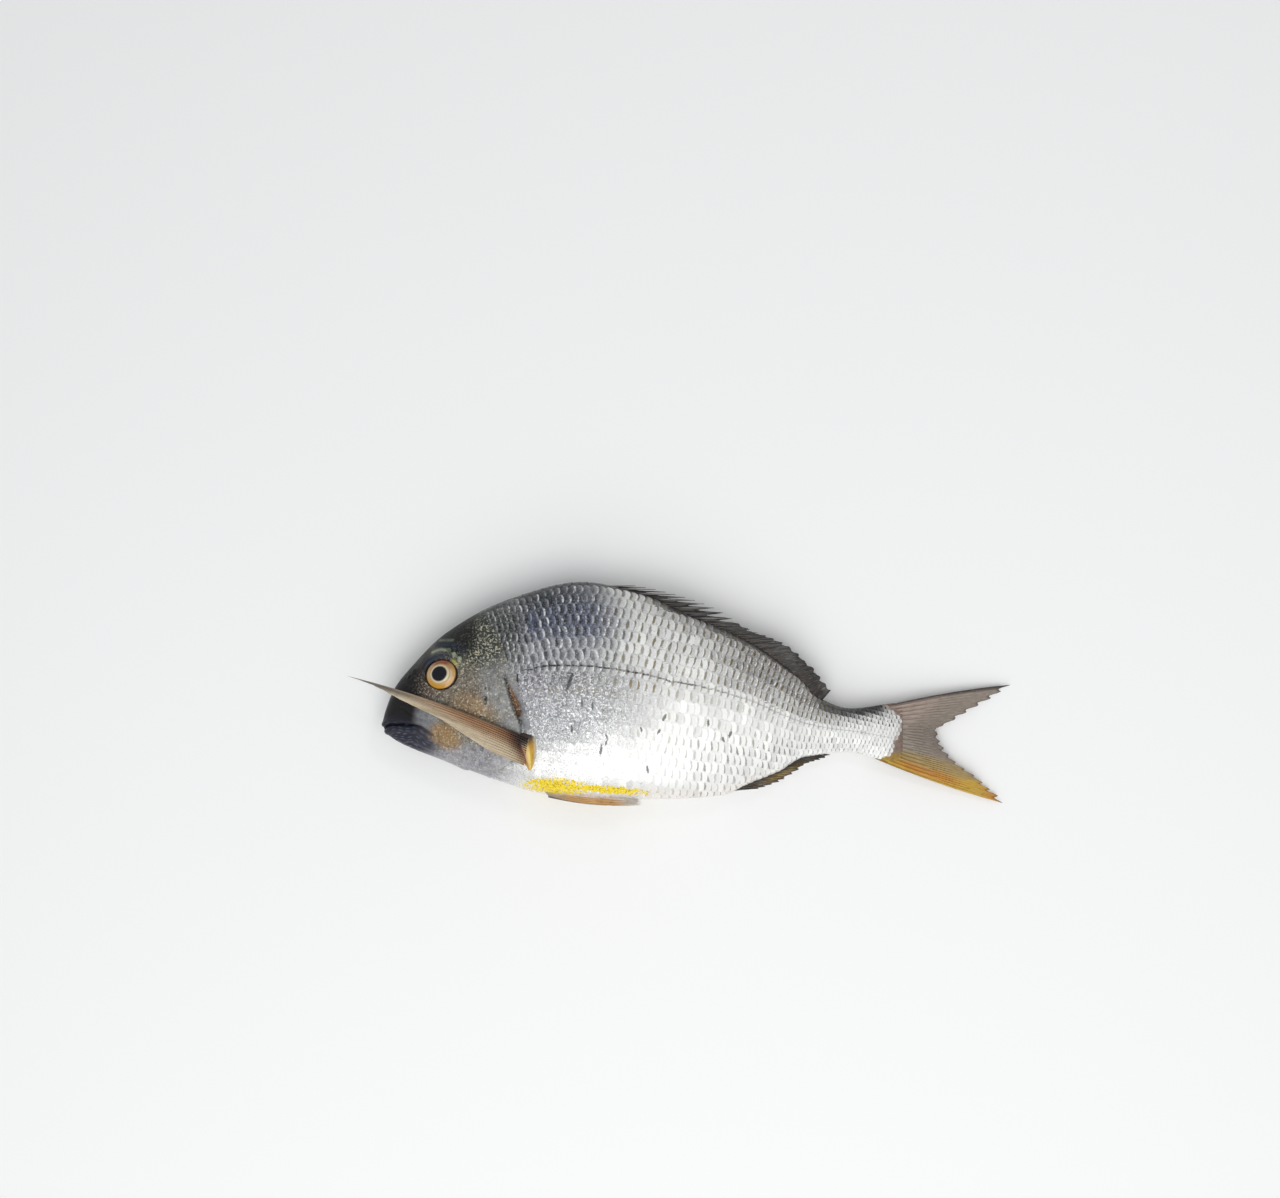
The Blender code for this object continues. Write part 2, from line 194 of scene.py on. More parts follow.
def pressed(height):
    """Flesh below the slab's level is pressed flat on it."""
    flattened = np.maximum(height + PRESS_BLEND, 0) ** 2 / (4 * PRESS_BLEND)
    return np.where(height >= PRESS_BLEND, height, flattened)


def edge_share(along, upper):
    """How far up a section's edge is: the back's where upper holds, and the belly's elsewhere."""
    return np.where(upper, back_share(along), belly_share(along))


def up_of(along, angle):
    """How far up the place at that angle is. Angle 0 is the left flank, a quarter turn the back."""
    rise, level = np.sin(angle), level_share(along)
    return level + (edge_share(along, rise > 0) - level) * np.abs(rise)


def half_width(along, upper, out):
    """Half the flesh's thickness where a section has narrowed to that share of its widest."""
    return width_share(along) * BODY_WIDTH / 2 * out ** np.where(upper, BACK_TAPER, BELLY_TAPER)


def skin_at(along, angle):
    """The point on the skin there."""
    across = np.cos(angle)
    half = half_width(along, np.sin(angle) > 0, np.abs(across))
    return place(along, up_of(along, angle), pressed(middle(along) + np.sign(across) * half))


SIDES = ("left", 1), ("right", -1)


def angle_at(along, up, side):
    """The angle round the fish of a place on its left (side 1) or right (side -1) flank."""
    level = level_share(along)
    reach = np.maximum(np.abs(edge_share(along, up > level) - level), 1e-6)
    angle = np.arcsin(np.clip((up - level) / reach, -1, 1))
    return angle if side > 0 else np.pi - angle


def drawn(line, steps=60):
    """A smooth line through the given places, as points."""
    order = np.arange(len(line))
    alongs, ups = (spline(np.stack([order, values], 1)) for values in np.array(line).T)
    shares = np.linspace(0, len(line) - 1, steps + 1)
    return np.stack([alongs(shares), ups(shares)], 1)


def beside(line, along, up):
    """Each place's distance from the line, in mm, over nought to its left, and how far along it that is."""
    scale = np.array([BODY_LENGTH, BODY_DEPTH]) / MM
    spots = drawn(line) * scale
    here = np.stack([along, up], -1) * scale
    nearest = np.full(along.shape, 1e9)
    side, share = np.zeros(along.shape), np.zeros(along.shape)
    for i, (start, end) in enumerate(zip(spots, spots[1:])):
        run = end - start
        t = np.clip(((here - start) @ run) / (run @ run), 0, 1)
        off = here - start - t[..., None] * run
        distance = np.hypot(off[..., 0], off[..., 1])
        closer = distance < nearest
        nearest = np.where(closer, distance, nearest)
        side = np.where(closer, np.sign(run[0] * off[..., 1] - run[1] * off[..., 0]), side)
        share = np.where(closer, (i + t) / (len(spots) - 1), share)
    return nearest * side, share


def ramp(start, end, x):
    """Nought before start, one past end, and smooth between."""
    t = np.clip((x - start) / (end - start), 0, 1)
    return t * t * (3 - 2 * t)


def mix(a, b, share):
    """The first where share is nought, and the second where it is one."""
    return a + (b - a) * share


def ridge(distance, width):
    """One on the line, and falling away to nought on both sides of it."""
    return np.exp(-((distance / width) ** 2))


def plate_edge(distance, reach, sharp=0.15):
    """A bone plate that is proud up to its edge, at distance nought, and slopes away in front of it."""
    return np.exp(np.minimum(distance, 0) / reach) / (1 + np.exp(np.clip(distance / sharp, -40, 40)))


EYE = 0.1185, 0.285
EYE_RADIUS = 6.6  # mm, along; the opening of its socket
EYE_FLATNESS = 1.13  # how much longer the opening is than high
GILL_EDGE = [(0.238, 0.32), (0.2475, 0.2447), (0.256, 0.175), (0.264, 0.119), (0.274, 0.06),
             (0.275, -0.02), (0.262, -0.09), (0.224, -0.152), (0.16, -0.155)]
PREOPERCLE = [(0.196, 0.31), (0.2095, 0.24), (0.2114, 0.163), (0.202, 0.1), (0.196, 0.03), (0.178, -0.026),
              (0.15, -0.07), (0.115, -0.075)]
MOUTH = [(0.0015, 0.03), (0.018, 0.05), (0.045, 0.053), (0.073, 0.047), (0.09, 0.027), (0.104, 0.002)]
JAW_BONE = [(0.112, -0.02), (0.107, 0.03), (0.09, 0.075), (0.066, 0.09), (0.04, 0.13)]
CHEEK_BONE = [(0.075, 0.25), (0.1, 0.195), (0.135, 0.17), (0.17, 0.2), (0.184, 0.27), (0.172, 0.34)]
BROW = [(0.072, 0.3), (0.09, 0.355), (0.13, 0.375), (0.165, 0.345)]
PALE_STREAK = [(0.1, 0.383), (0.118, 0.397), (0.138, 0.38), (0.155, 0.352)]
BLUE_STREAK = [(0.106, 0.417), (0.13, 0.42), (0.165, 0.398)]
UPPER_STREAK = [(0.112, 0.438), (0.14, 0.44)]
JAW_FOLD = [(0.102, -0.002), (0.118, -0.03), (0.145, -0.052), (0.175, -0.085)]
THROAT_FOLD = [(0.05, -0.03), (0.1, -0.075), (0.16, -0.13), (0.22, -0.18)]
LATERAL_LINE = [(0.24, 0.325), (0.2842, 0.306), (0.3109, 0.3223), (0.3453, 0.3288), (0.391, 0.3276),
                (0.4291, 0.3195), (0.5186, 0.2844), (0.5568, 0.259), (0.6162, 0.2325), (0.7152, 0.1633),
                (0.7782, 0.0968), (0.8281, 0.0528), (0.8683, 0.0323), (0.9287, 0.012), (0.9959, -0.02)]
NOSTRILS = ((0.066, 0.291), 0.75), ((0.055, 0.268), 0.5)  # place and radius in mm
FURROWS = (  # line, depth and width in mm
    (CHEEK_BONE, 0.3, 0.7), (JAW_BONE, 0.45, 0.5), (JAW_FOLD, 0.5, 0.6), (THROAT_FOLD, 0.35, 0.6),
)
HEAD_END = 0.36  # the share along behind which the skin has no relief
COVER_PROUD, FLANGE_PROUD, BROW_PROUD, UPPER_LIP_PROUD, LOWER_LIP_PROUD = 0.95, 0.4, 0.5, 0.6, 0.7  # mm
FLANGE_DEPTH, SLIT_DEPTH, GAPE_DEPTH, MOUTH_DEPTH, CREASE_DEPTH = 0.35, 0.6, 1.6, 1.5, 0.09  # mm
SOCKET_RIM, SOCKET_DEPTH, NOSTRIL_RIM, NOSTRIL_DEPTH = 0.45, 3.2, 0.2, 1.1  # mm


def from_eye(along, up):
    """Distance from the middle of the eye, in mm, with its height stretched until its socket is round."""
    return np.hypot((along - EYE[0]) * BODY_LENGTH, (up - EYE[1]) * BODY_DEPTH * EYE_FLATNESS) / MM


def gill_gape(down):
    """How far the gill slit stands open, from 0 to 1, for each share down the gill cover's edge."""
    return ramp(0.06, 0.33, down) * (1 - ramp(0.38, 0.45, down))


def creases(along, up):
    """Broken folds that run along the lower jaw, from -1 to 1."""
    behind = along * BODY_LENGTH / MM
    below, _ = beside(MOUTH, along, up)
    fold = np.sin(5.2 * below + 1.8 * np.sin(0.8 * behind) + 1.3 * np.sin(0.31 * behind + 1.7 * below))
    return fold * (0.55 + 0.45 * np.sin(2.1 * behind + 3 * np.sin(0.9 * below)))


def head_relief(along, up):
    """How far the skin stands proud of its smooth form, in mm."""
    gill, down = beside(GILL_EDGE, along, up)
    gape = gill_gape(down)
    relief = COVER_PROUD * plate_edge(gill, 7) * ramp(0, 0.12, down)
    slit_deep = (SLIT_DEPTH + GAPE_DEPTH * gape) * ridge(gill - 0.5 - 0.6 * gape, 0.45 + 0.75 * gape)
    relief -= slit_deep * ramp(0, 0.1, down)
    flange, down = beside(PREOPERCLE, along, up)
    flange = FLANGE_PROUD * plate_edge(flange, 4, 0.2) - FLANGE_DEPTH * ridge(flange - 0.3, 0.5)
    relief += ramp(0, 0.25, down) * flange
    from_middle = from_eye(along, up)
    relief += SOCKET_RIM * ridge(from_middle - EYE_RADIUS - 1.1, 0.9)
    relief -= SOCKET_DEPTH * (1 - ramp(EYE_RADIUS - 0.45, EYE_RADIUS + 0.35, from_middle))
    brow, _ = beside(BROW, along, up)
    relief += BROW_PROUD * ridge(brow, 1.5)
    for spot, radius in NOSTRILS:
        away = np.hypot((along - spot[0]) * BODY_LENGTH, (up - spot[1]) * BODY_DEPTH) / MM
        relief += NOSTRIL_RIM * ridge(away - 1.5 * radius, 0.4) - NOSTRIL_DEPTH * ridge(away, 0.7 * radius)
    lips, back = beside(MOUTH, along, up)
    shut = 1 - ramp(0.94, 1, back)
    lips = (UPPER_LIP_PROUD * ridge(lips - 1.5, 1.0) + LOWER_LIP_PROUD * ridge(lips + 1.8, 1.3)
            - MOUTH_DEPTH * ridge(lips, 0.4))
    relief += shut * lips
    relief += CREASE_DEPTH * creases(along, up) * blob(along, up, (0.062, -0.008), (12, 6), -22)
    for line, depth, width in FURROWS:
        relief -= depth * ridge(beside(line, along, up)[0], width)
    return relief


RINGS, ROUND = 330, 294
HEAD_CROWDING = 1.9  # over 1 puts more of the rings in the head
FLANK_CROWDING = 0.35  # over nought puts more of each ring's points on the flanks


def ring_grid():
    """The share along and the angle of every point of the skin's rings."""
    turn = np.linspace(0, 1, RINGS) ** HEAD_CROWDING * FLESH_END
    phase = np.arange(ROUND) * 2 * np.pi / ROUND
    return np.meshgrid(turn, phase - FLANK_CROWDING * np.sin(2 * phase) / 2, indexing="ij")


def outward_of(grid):
    """The way out of a grid of rings, at each of its points."""
    forward = np.gradient(grid, axis=0)
    round_it = np.roll(grid, -1, axis=1) - np.roll(grid, 1, axis=1)
    way = np.cross(forward, round_it)
    return way / np.maximum(np.linalg.norm(way, axis=-1, keepdims=True), 1e-12)


def closed_tube(name, grid):
    """A mesh over rings of points, with a point at the middle of each end."""
    rings, around = grid.shape[:2]
    spots = np.concatenate([grid.reshape(-1, 3), [grid[0].mean(0)], [grid[-1].mean(0)]])
    ring = np.arange(around)
    following = (ring + 1) % around
    before = np.arange(rings - 1)[:, None] * around
    corner, after = before + ring, before + following
    sides = np.stack([corner, corner + around, after + around, after], -1).reshape(-1, 4)
    last = (rings - 1) * around
    start = np.stack([np.full(around, rings * around), ring, following], -1)
    end = np.stack([np.full(around, rings * around + 1), last + following, last + ring], -1)
    mesh = bpy.data.meshes.new(name)
    mesh.from_pydata(spots.tolist(), [], [*sides.tolist(), *start.tolist(), *end.tolist()])
    mesh.shade_smooth()
    return mesh


def add_piece(name, mesh, finish, stands_for=()):
    """Puts a finished mesh in the scene as a piece of the fish."""
    piece = bpy.data.objects.new(name, mesh)
    scene.collection.objects.link(piece)
    if finish is not None:
        mesh.materials.clear()
        mesh.materials.append(finish)
    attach(piece, "root")
    if stands_for:
        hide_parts(*stands_for)
    return piece


def colour(red, green, blue):
    """A colour given as 0 to 255 on a screen."""
    shares = np.array([red, green, blue]) / 255
    return np.where(shares <= 0.04045, shares / 12.92, ((shares + 0.055) / 1.055) ** 2.4)


SILVER, STEEL, SLATE = colour(240, 240, 236), colour(132, 134, 138), colour(84, 94, 128)
DEEP_STEEL = 0.78 * STEEL
NAPE, NAPE_GREEN, RIDGE = colour(12, 14, 14), colour(46, 54, 48), colour(10, 10, 10)
REAR_BACK, OPERCLE, CHEEK = colour(132, 126, 122), colour(150, 150, 150), colour(118, 109, 97)
SNOUT, LIP, LIP_PALE = colour(10, 10, 12), colour(34, 36, 50), colour(96, 98, 116)
PLATE, JAW_TAN, SNOUT_PINK = colour(140, 142, 146), colour(158, 124, 78), colour(104, 84, 78)
THROAT, GILL_LINING, SHOULDER = colour(156, 154, 164), colour(140, 92, 50), colour(142, 140, 152)
TAIL_ROOT_BROWN, TAIL_ROOT_OLIVE = colour(142, 122, 110), colour(166, 134, 62)
CHEEK_TAN, BROW_BLUE, BROW_PALE = colour(156, 126, 90), colour(30, 42, 62), colour(176, 188, 160)
EYE_YELLOW, BELLY_PINK = colour(206, 196, 96), colour(226, 214, 204)
CREAM, SPECK = colour(222, 216, 190), colour(14, 14, 16)


def blob(along, up, spot, size, turn=0.0, soft=0.5):
    """A soft oval patch: one inside, nought outside. Its size is in mm along and up, before its turn."""
    x, y = (along - spot[0]) * BODY_LENGTH / MM, (up - spot[1]) * BODY_DEPTH / MM
    c, s = np.cos(np.radians(turn)), np.sin(np.radians(turn))
    away = np.hypot((x * c + y * s) / size[0], (y * c - x * s) / size[1])
    return 1 - ramp(1 - soft, 1 + soft, away)


def plain(paint, like):
    """A tint of one colour for every place of a grid."""
    return np.broadcast_to(paint, like.shape + (3,)).copy()


def lay(tint, paint, cover):
    """Lays paint over a tint, from nought where its cover is nought to all of it where that is one."""
    tint += (paint - tint) * np.clip(cover, 0, 1)[..., None]


# The share along, for each share up, where the scales give way to the tail fin's skin
scaled_to = spline([(-0.14, 0.955), (-0.12, 0.972), (-0.083, 1.0), (-0.04, 1.002), (-0.005, 1.012),
                    (0.058, 1.018), (0.1, 1.002), (0.14, 0.98)])


def pigment(along, up, rise):
    """The skin's own colour at each place. rise is 1 on the ridge of the back and -1 on the belly's keel."""
    tint = plain(SILVER, along)

    def wash(paint, cover):
        lay(tint, paint, cover)

    def dab(paint, cover, *oval):
        lay(tint, paint, cover * blob(along, up, *oval))

    behind_head = ramp(0.24, 0.3, along)
    before_stalk = 1 - 0.6 * ramp(0.85, 0.95, along)
    dab(DEEP_STEEL, 0.95, (0.305, 0.165), (42, 19))
    wash(STEEL, 0.7 * (1 - ramp(0.32, 0.43, along)) * ramp(-0.08, 0.06, up))
    wash(REAR_BACK, 0.75 * ramp(0.15, 0.6, rise) * ramp(0.61, 0.72, along) * before_stalk)
    wash(REAR_BACK, 0.7 * ramp(0.72, 0.95, rise) * ramp(0.45, 0.6, along) * before_stalk)
    wash(STEEL, 0.6 * ramp(0.1, 0.7, rise) * (1 - ramp(0.4, 0.48, along)))
    dab(SLATE, 0.9, (0.34, 0.53), (23, 15), -12)
    dab(SLATE, 0.8, (0.25, 0.57), (26, 12), 35)
    dab(SILVER, 0.4, (0.345, 0.38), (42, 7))
    wash(NAPE_GREEN, 0.85 * ramp(0.65, 0.95, rise) * (1 - ramp(0.32, 0.44, along)))
    wash(OPERCLE, 0.9 * (1 - behind_head) * ramp(-0.16, -0.04, up))
    wash(CHEEK, 0.95 * (1 - ramp(0.185, 0.215, along + 0.06 * (up - 0.2))) * ramp(-0.1, 0.05, up))
    dab(CHEEK_TAN, 0.8, (0.185, 0.12), (10, 6), -30)
    wash(THROAT, 0.9 * (1 - ramp(0.2, 0.3, along)) * (1 - ramp(-0.1, 0.0, up)))
    dab(NAPE_GREEN, 0.9, (0.2, 0.47), (15, 13), 20, 0.4)
    wash(NAPE, 0.97 * ramp(0.12, 0.5, up - 2.3 * along + 0.12) * (1 - ramp(0.2, 0.25, along)))
    dab(NAPE, 0.97, (0.143, 0.47), (9, 9), 35, 0.3)
    dab(SNOUT_PINK, 0.85, (0.073, 0.22), (8, 5.5), -10)
    dab(SNOUT, 0.97, (0.02, 0.12), (12, 21), -12, 0.3)
    dab(SNOUT, 0.85, (0.062, 0.325), (9, 9), -45, 0.4)
    dab(PLATE, 0.9, (0.094, 0.082), (5.4, 6), 0, 0.4)
    dab(LIP, 0.95, (0.054, 0.0), (13, 6), -22, 0.4)
    dab(JAW_TAN, 0.9, (0.128, 0.005), (6.5, 4.6), -30, 0.4)
    above_eye = np.hypot(along - EYE[0], (up - EYE[1]) * BODY_DEPTH / BODY_LENGTH) * BODY_LENGTH / MM
    over = ramp(0.2, 0.7, (up - EYE[1]) * BODY_DEPTH / MM / np.maximum(above_eye, 0.1))
    # painted shade: a blue-black band just inside the socket's upper rim, over the eye
    wash(BROW_BLUE, 0.95 * ridge(above_eye - 7.0, 1.1) * over)
    for paint, cover, width, streak in (
        (BROW_PALE, 0.85, 0.5, PALE_STREAK), (BROW_BLUE, 0.9, 0.9, BLUE_STREAK),
        (BROW_PALE, 0.35, 0.4, UPPER_STREAK),
    ):
        wash(paint, cover * ridge(beside(streak, along, up)[0], width))
    dab(EYE_YELLOW, 0.85, (0.1459, 0.337), (1.6, 0.9), -40)
    for spot, size in (
        ((0.2072, 0.225), (0.5, 0.6)), ((0.2077, 0.173), (0.8, 1.9)), ((0.1968, 0.102), (0.5, 2.2)),
    ):
        dab(SPECK, 0.97, spot, size, 0, 0.3)
    furrowed = ramp(0.25, 0.8, creases(along, up))
    wash(LIP_PALE, 0.8 * furrowed * blob(along, up, (0.068, -0.012), (11, 5), -22))
    wash(SHOULDER, 0.6 * blob(along, up, (0.285, 0.25), (7, 9), 0) * behind_head)
    wash(RIDGE, 0.9 * ramp(0.945, 0.98, rise) * ramp(0.15, 0.25, along))
    wash(RIDGE, 0.95 * ramp(0.5, 0.8, rise) * ramp(0.83, 0.87, along) * (1 - ramp(0.97, 1.0, along)))
    scales_end = scaled_to(up)
    fin_skin = mix(TAIL_ROOT_BROWN, TAIL_ROOT_OLIVE, ramp(-0.075, -0.11, up)[..., None])
    wash(fin_skin, ramp(scales_end - 0.006, scales_end + 0.002, along))
    belly = ramp(0.3, 0.35, along) * (1 - ramp(0.7, 0.8, along))
    wash(BELLY_PINK, 0.5 * (1 - ramp(-0.97, -0.8, rise)) * belly)
    return tint


def mosaic(along, up):
    """How much of the head's skin is broken up by pale spots."""

    def patch(*oval):
        return blob(along, up, *oval)

    spots = (1 - ramp(0.25, 0.29, along)) * mix(0.6, 0.7, ramp(-0.12, 0.0, up)) * ramp(0.08, 0.14, along)
    spots += 0.6 * patch((0.2, 0.47), (15, 12), 20, 0.3) + 0.7 * patch((0.073, 0.22), (9, 6))
    spots *= 1 - 0.97 * patch((0.01, 0.12), (12, 22), -12, 0.3)
    spots *= 1 - 0.95 * ramp(0.1, 0.3, up - 2.3 * along + 0.12)
    spots *= 1 - 0.85 * patch((0.15, 0.445), (8, 8), 35, 0.4)
    return spots * (1 - 0.9 * patch((0.052, 0.0), (12, 6), -22, 0.25))


def brightness(tint):
    """From 0 to 1, how much a tint gleams like silver."""
    return np.clip(2.2 * tint.mean(-1), 0, 1)


def set_attribute(mesh, name, kind, values):
    """Stores numbers on a mesh's points: kind is FLOAT, FLOAT_VECTOR or FLOAT_COLOR."""
    made = mesh.attributes.new(name, kind, "POINT")
    field = {"FLOAT": "value", "FLOAT_VECTOR": "vector", "FLOAT_COLOR": "color"}[kind]
    if kind == "FLOAT_COLOR":
        values = np.concatenate([values, np.ones(values.shape[:-1] + (1,))], -1)
    made.data.foreach_set(field, np.ascontiguousarray(values, np.float32).ravel())


class Graph:
    """A tree of nodes, of a material or of Geometry Nodes."""

    def __init__(self, tree):
        self.tree = tree

    def node(self, kind, settings=None, sockets=None, output=0):
        """Adds a node: its settings first, then values or links of its sockets. Gives one of its outputs."""
        made = self.tree.nodes.new(kind)
        for name, value in (settings or {}).items():
            setattr(made, name, value)
        for name, value in (sockets or {}).items():
            self.feed(made.inputs[name], value)
        return Field(self, made.outputs[output])

    def feed(self, socket, value):
        """Links a field to a socket, or sets it to a number or a colour."""
        if isinstance(value, Field):
            self.tree.links.new(value.socket, socket)
        else:
            socket.default_value = (*value, 1) if socket.type == "RGBA" else value

    def math(self, operation, *values):
        return self.node("ShaderNodeMath", {"operation": operation}, dict(enumerate(values)))

    def read(self, name):
        """A number stored on the mesh."""
        return self.node("ShaderNodeAttribute", {"attribute_name": name}, output=2)

    def read_colour(self, name):
        return self.node("ShaderNodeAttribute", {"attribute_name": name})


class Field:
    """A quantity that varies over a surface. Arithmetic on it adds Math nodes to its graph."""

    def __init__(self, graph, socket):
        self.graph, self.socket = graph, socket

    def __add__(self, other):
        return self.graph.math("ADD", self, other)

    def __sub__(self, other):
        return self.graph.math("SUBTRACT", self, other)

    def __rsub__(self, other):
        return self.graph.math("SUBTRACT", other, self)

    def __mul__(self, other):
        return self.graph.math("MULTIPLY", self, other)

    def __truediv__(self, other):
        return self.graph.math("DIVIDE", self, other)

    def __pow__(self, other):
        return self.graph.math("POWER", self, other)

    def __abs__(self):
        return self.graph.math("ABSOLUTE", self)

    __radd__, __rmul__ = __add__, __mul__


def between(low, high, value):
    """For a field: nought under low, one over high, and smooth between."""
    sockets = {"Value": value, "From Min": low, "From Max": high}
    return value.graph.node("ShaderNodeMapRange", {"interpolation_type": "SMOOTHSTEP"}, sockets)


def blend(share, first, second):
    """A colour that varies: the first where the share is nought, and the second where it is one."""
    return share.graph.node("ShaderNodeMix", {"data_type": "RGBA"}, {0: share, 6: first, 7: second}, 2)


class Finish(Graph):
    """A material, built up as a graph that ends in a Principled shader."""

    def __init__(self, name, **constants):
        self.material = bpy.data.materials.new(name)
        self.material.use_nodes = True
        super().__init__(self.material.node_tree)
        self.shader = self.tree.nodes["Principled BSDF"]
        self.put(**constants)
        self.here = self.node("ShaderNodeTexCoord", output="Object")

    def put(self, **values):
        """Sets or links the shader's sockets, named with underscores for spaces."""
        for name, value in values.items():
            self.feed(self.shader.inputs[name.replace("_", " ")], value)

    def noise(self, size, detail=3, roughness=0.55, where=None, distortion=0.0):
        """Cloudy noise from 0 to 1, with features of that size in metres."""
        sockets = {"Vector": where or self.here, "Scale": 1 / size, "Detail": detail, "Roughness": roughness,
                   "Distortion": distortion}
        return self.node("ShaderNodeTexNoise", None, sockets)

    def bump(self, height, depth, strength):
        """Fine relief of that depth in metres."""
        return self.node("ShaderNodeBump", None, {"Height": height, "Distance": depth, "Strength": strength})


along_grid, angle_grid = ring_grid()
up_grid = up_of(along_grid, angle_grid)
smooth_skin = skin_at(along_grid, angle_grid)
relief_grid = np.zeros(along_grid.shape)
head = along_grid < HEAD_END
relief_grid[head] = head_relief(along_grid[head], up_grid[head])
free_of_slab = ramp(0.2 * MM, 3 * MM, smooth_skin[..., 2])
flank_only = ramp(0.02, 0.2, np.abs(np.cos(angle_grid)))
skin_grid = smooth_skin + outward_of(smooth_skin) * (relief_grid * free_of_slab * flank_only * MM)[..., None]
over_fin = ramp(-1.5, 0.5, beside(FOLDED_FIN, along_grid, up_grid)[0]) * (np.cos(angle_grid) < 0)
skin_grid[..., 2] = np.maximum(skin_grid[..., 2], mix(SCALE_ROOM, FIN_ROOM, over_fin))
skin_mesh = closed_tube("skin", skin_grid)

tint_grid = pigment(along_grid, up_grid, np.sin(angle_grid))
gill_grid, down_grid = beside(GILL_EDGE, along_grid, up_grid)
gape_grid = gill_gape(down_grid)
lining = ridge(gill_grid - 0.4 - 0.8 * gape_grid, 0.3 + 0.85 * gape_grid) * ramp(0.12, 0.17, down_grid)
lining *= 1 - ramp(0.41, 0.45, down_grid)
# painted shade: a dark line down the gill slit, where the cover's edge overhangs the opening; less of it
# where the slit gapes and its lining shows
slit = ridge(gill_grid - 0.1, 0.55) * ramp(0.04, 0.08, down_grid) * (1 - 0.6 * ramp(0.47, 0.52, down_grid))
lay(tint_grid, GILL_LINING, 1.3 * lining)
lay(tint_grid, SPECK, 1.2 * slit * (1 - 0.35 * gape_grid))
ends = np.stack([tint_grid[0].mean(0), tint_grid[-1].mean(0)])
set_attribute(skin_mesh, "tint", "FLOAT_COLOR", np.concatenate([tint_grid.reshape(-1, 3), ends]))
for name, numbers in (("spots", mosaic(along_grid, up_grid)), ("bright", brightness(tint_grid))):
    set_attribute(skin_mesh, name, "FLOAT", np.concatenate([numbers.ravel(), [0, 0]]))

skin_finish = Finish("wet_skin", Coat_Roughness=0.16, Specular_IOR_Level=0.3)
bright, spots = skin_finish.read("bright"), skin_finish.read("spots")
mottle = skin_finish.noise(1.4 * MM, 5, 0.7)
specks = between(0.56, 0.68, skin_finish.noise(0.75 * MM, 4, 0.7))
pale = between(0.52, 0.62, skin_finish.noise(0.8 * MM, 4, 0.7, distortion=0.6))
shade = blend(between(0.4, 0.8, mottle) * 0.5, skin_finish.read_colour("tint"), SPECK)
shade = blend(specks * (0.25 + 0.45 * spots), shade, SPECK)
skin_finish.put(
    Base_Color=blend(pale * spots, shade, CREAM),
    Metallic=0.45 * bright,
    Coat_Weight=0.05 + 0.4 * bright,
    Roughness=0.3 + 0.25 * mottle,
    Normal=skin_finish.bump(mottle + 0.8 * pale * spots - 0.5 * specks, 0.14 * MM, 0.9),
)
skin = add_piece("skin", skin_mesh, skin_finish.material, ["fish"])

# ------------------------------------------------------------------------------------------------ scales
# Overlapping horn-clear plates, silvered underneath, sit in rows that follow the lateral line. Each row lies
# half a plate behind the next, and each plate's rounded free edge stands a little proud of the plate behind.

pitch_along = spline([(0.14, 1.5), (0.2, 1.8), (0.26, 2.4), (0.33, 2.9), (0.45, 3.1), (0.6, 2.8), (0.7, 2.4),
                      (0.8, 2.0), (0.9, 1.75), (1, 1.5)])  # mm from one plate to the next in its row
pitch_across = spline([(0.14, 3.0), (0.26, 4.1), (0.4, 4.7), (0.6, 4.6), (0.7, 4.2), (0.8, 3.4), (0.88, 2.4),
                       (0.95, 1.9), (1.02, 1.6)])  # mm from row to row
SCALED_FROM = [(0.135, 0.68), (0.186, 0.56), (0.22, 0.45), (0.238, 0.35), (0.2475, 0.2447), (0.256, 0.175),
               (0.264, 0.119), (0.274, 0.06), (0.275, -0.02), (0.262, -0.09), (0.224, -0.165), (0.1, -0.2)]
PLATE_FRONT, PLATE_REAR, PLATE_CORNER = -1.3, 0.62, 0.55  # shares of the pitch along
PLATE_HALF = 0.62  # share of the pitch across
PLATE_STEPS = 3, 6  # faces along and across
PLATE_UNDER, PLATE_BOW = -0.2 * MM, 0.1 * MM  # where its lower face lies, and how far its sides curve down
TUCKED, PROUD = -0.12 * MM, 0.26 * MM  # of a plate's hidden front and its free edge over the skin
ARC_STEPS = 241  # of the half ring that a row's place is measured on
ARC_END = 0.3 * MM  # no plate lies nearer than this to the ridge or the keel
HEAD_SCALED = 0.105  # the share along where the cheek's scales start
CHEEK_PIT = 0.2077, 0.16  # a bare dark hollow in the cheek's scales
BODY_PITCHES = pitch_along, pitch_across
HEAD_PITCHES = spline([(0, 1.5), (0.3, 1.7)]), spline([(0, 1.9), (0.3, 2.2)])


def ring_angle(along, arc, side):
    """The angle that lies that far round the ring from the lateral line, over nought towards the back."""
    fine = np.linspace(-np.pi / 2, np.pi / 2, ARC_STEPS)
    at = np.broadcast_to(fine if side > 0 else np.pi - fine, (len(along), len(fine)))
    ring = skin_at(np.broadcast_to(along[:, None], at.shape), at)
    steps = np.linalg.norm(np.diff(ring, axis=1), axis=-1)
    run = np.concatenate([np.zeros((len(along), 1)), np.cumsum(steps, axis=1)], axis=1)
    line = spline([(0.0, 0.33)] + LATERAL_LINE)(along)
    start = angle_at(along, line, 1)
    found = np.full(len(along), np.nan)
    for i in range(len(along)):
        wanted = np.interp(start[i], fine, run[i]) + arc[i]
        if ARC_END < wanted < run[i, -1] - ARC_END:
            found[i] = np.interp(wanted, run[i], fine)
    return found if side > 0 else np.pi - found


def row_places(first, last, pitch):
    """Shares along at one pitch from each other."""
    fine = np.linspace(first, last, 2000)
    count = np.concatenate([[0], np.cumsum(np.diff(fine) * BODY_LENGTH / MM / pitch(fine[:-1]))])
    return lambda shift: np.interp(np.arange(shift, count[-1]), count, fine)


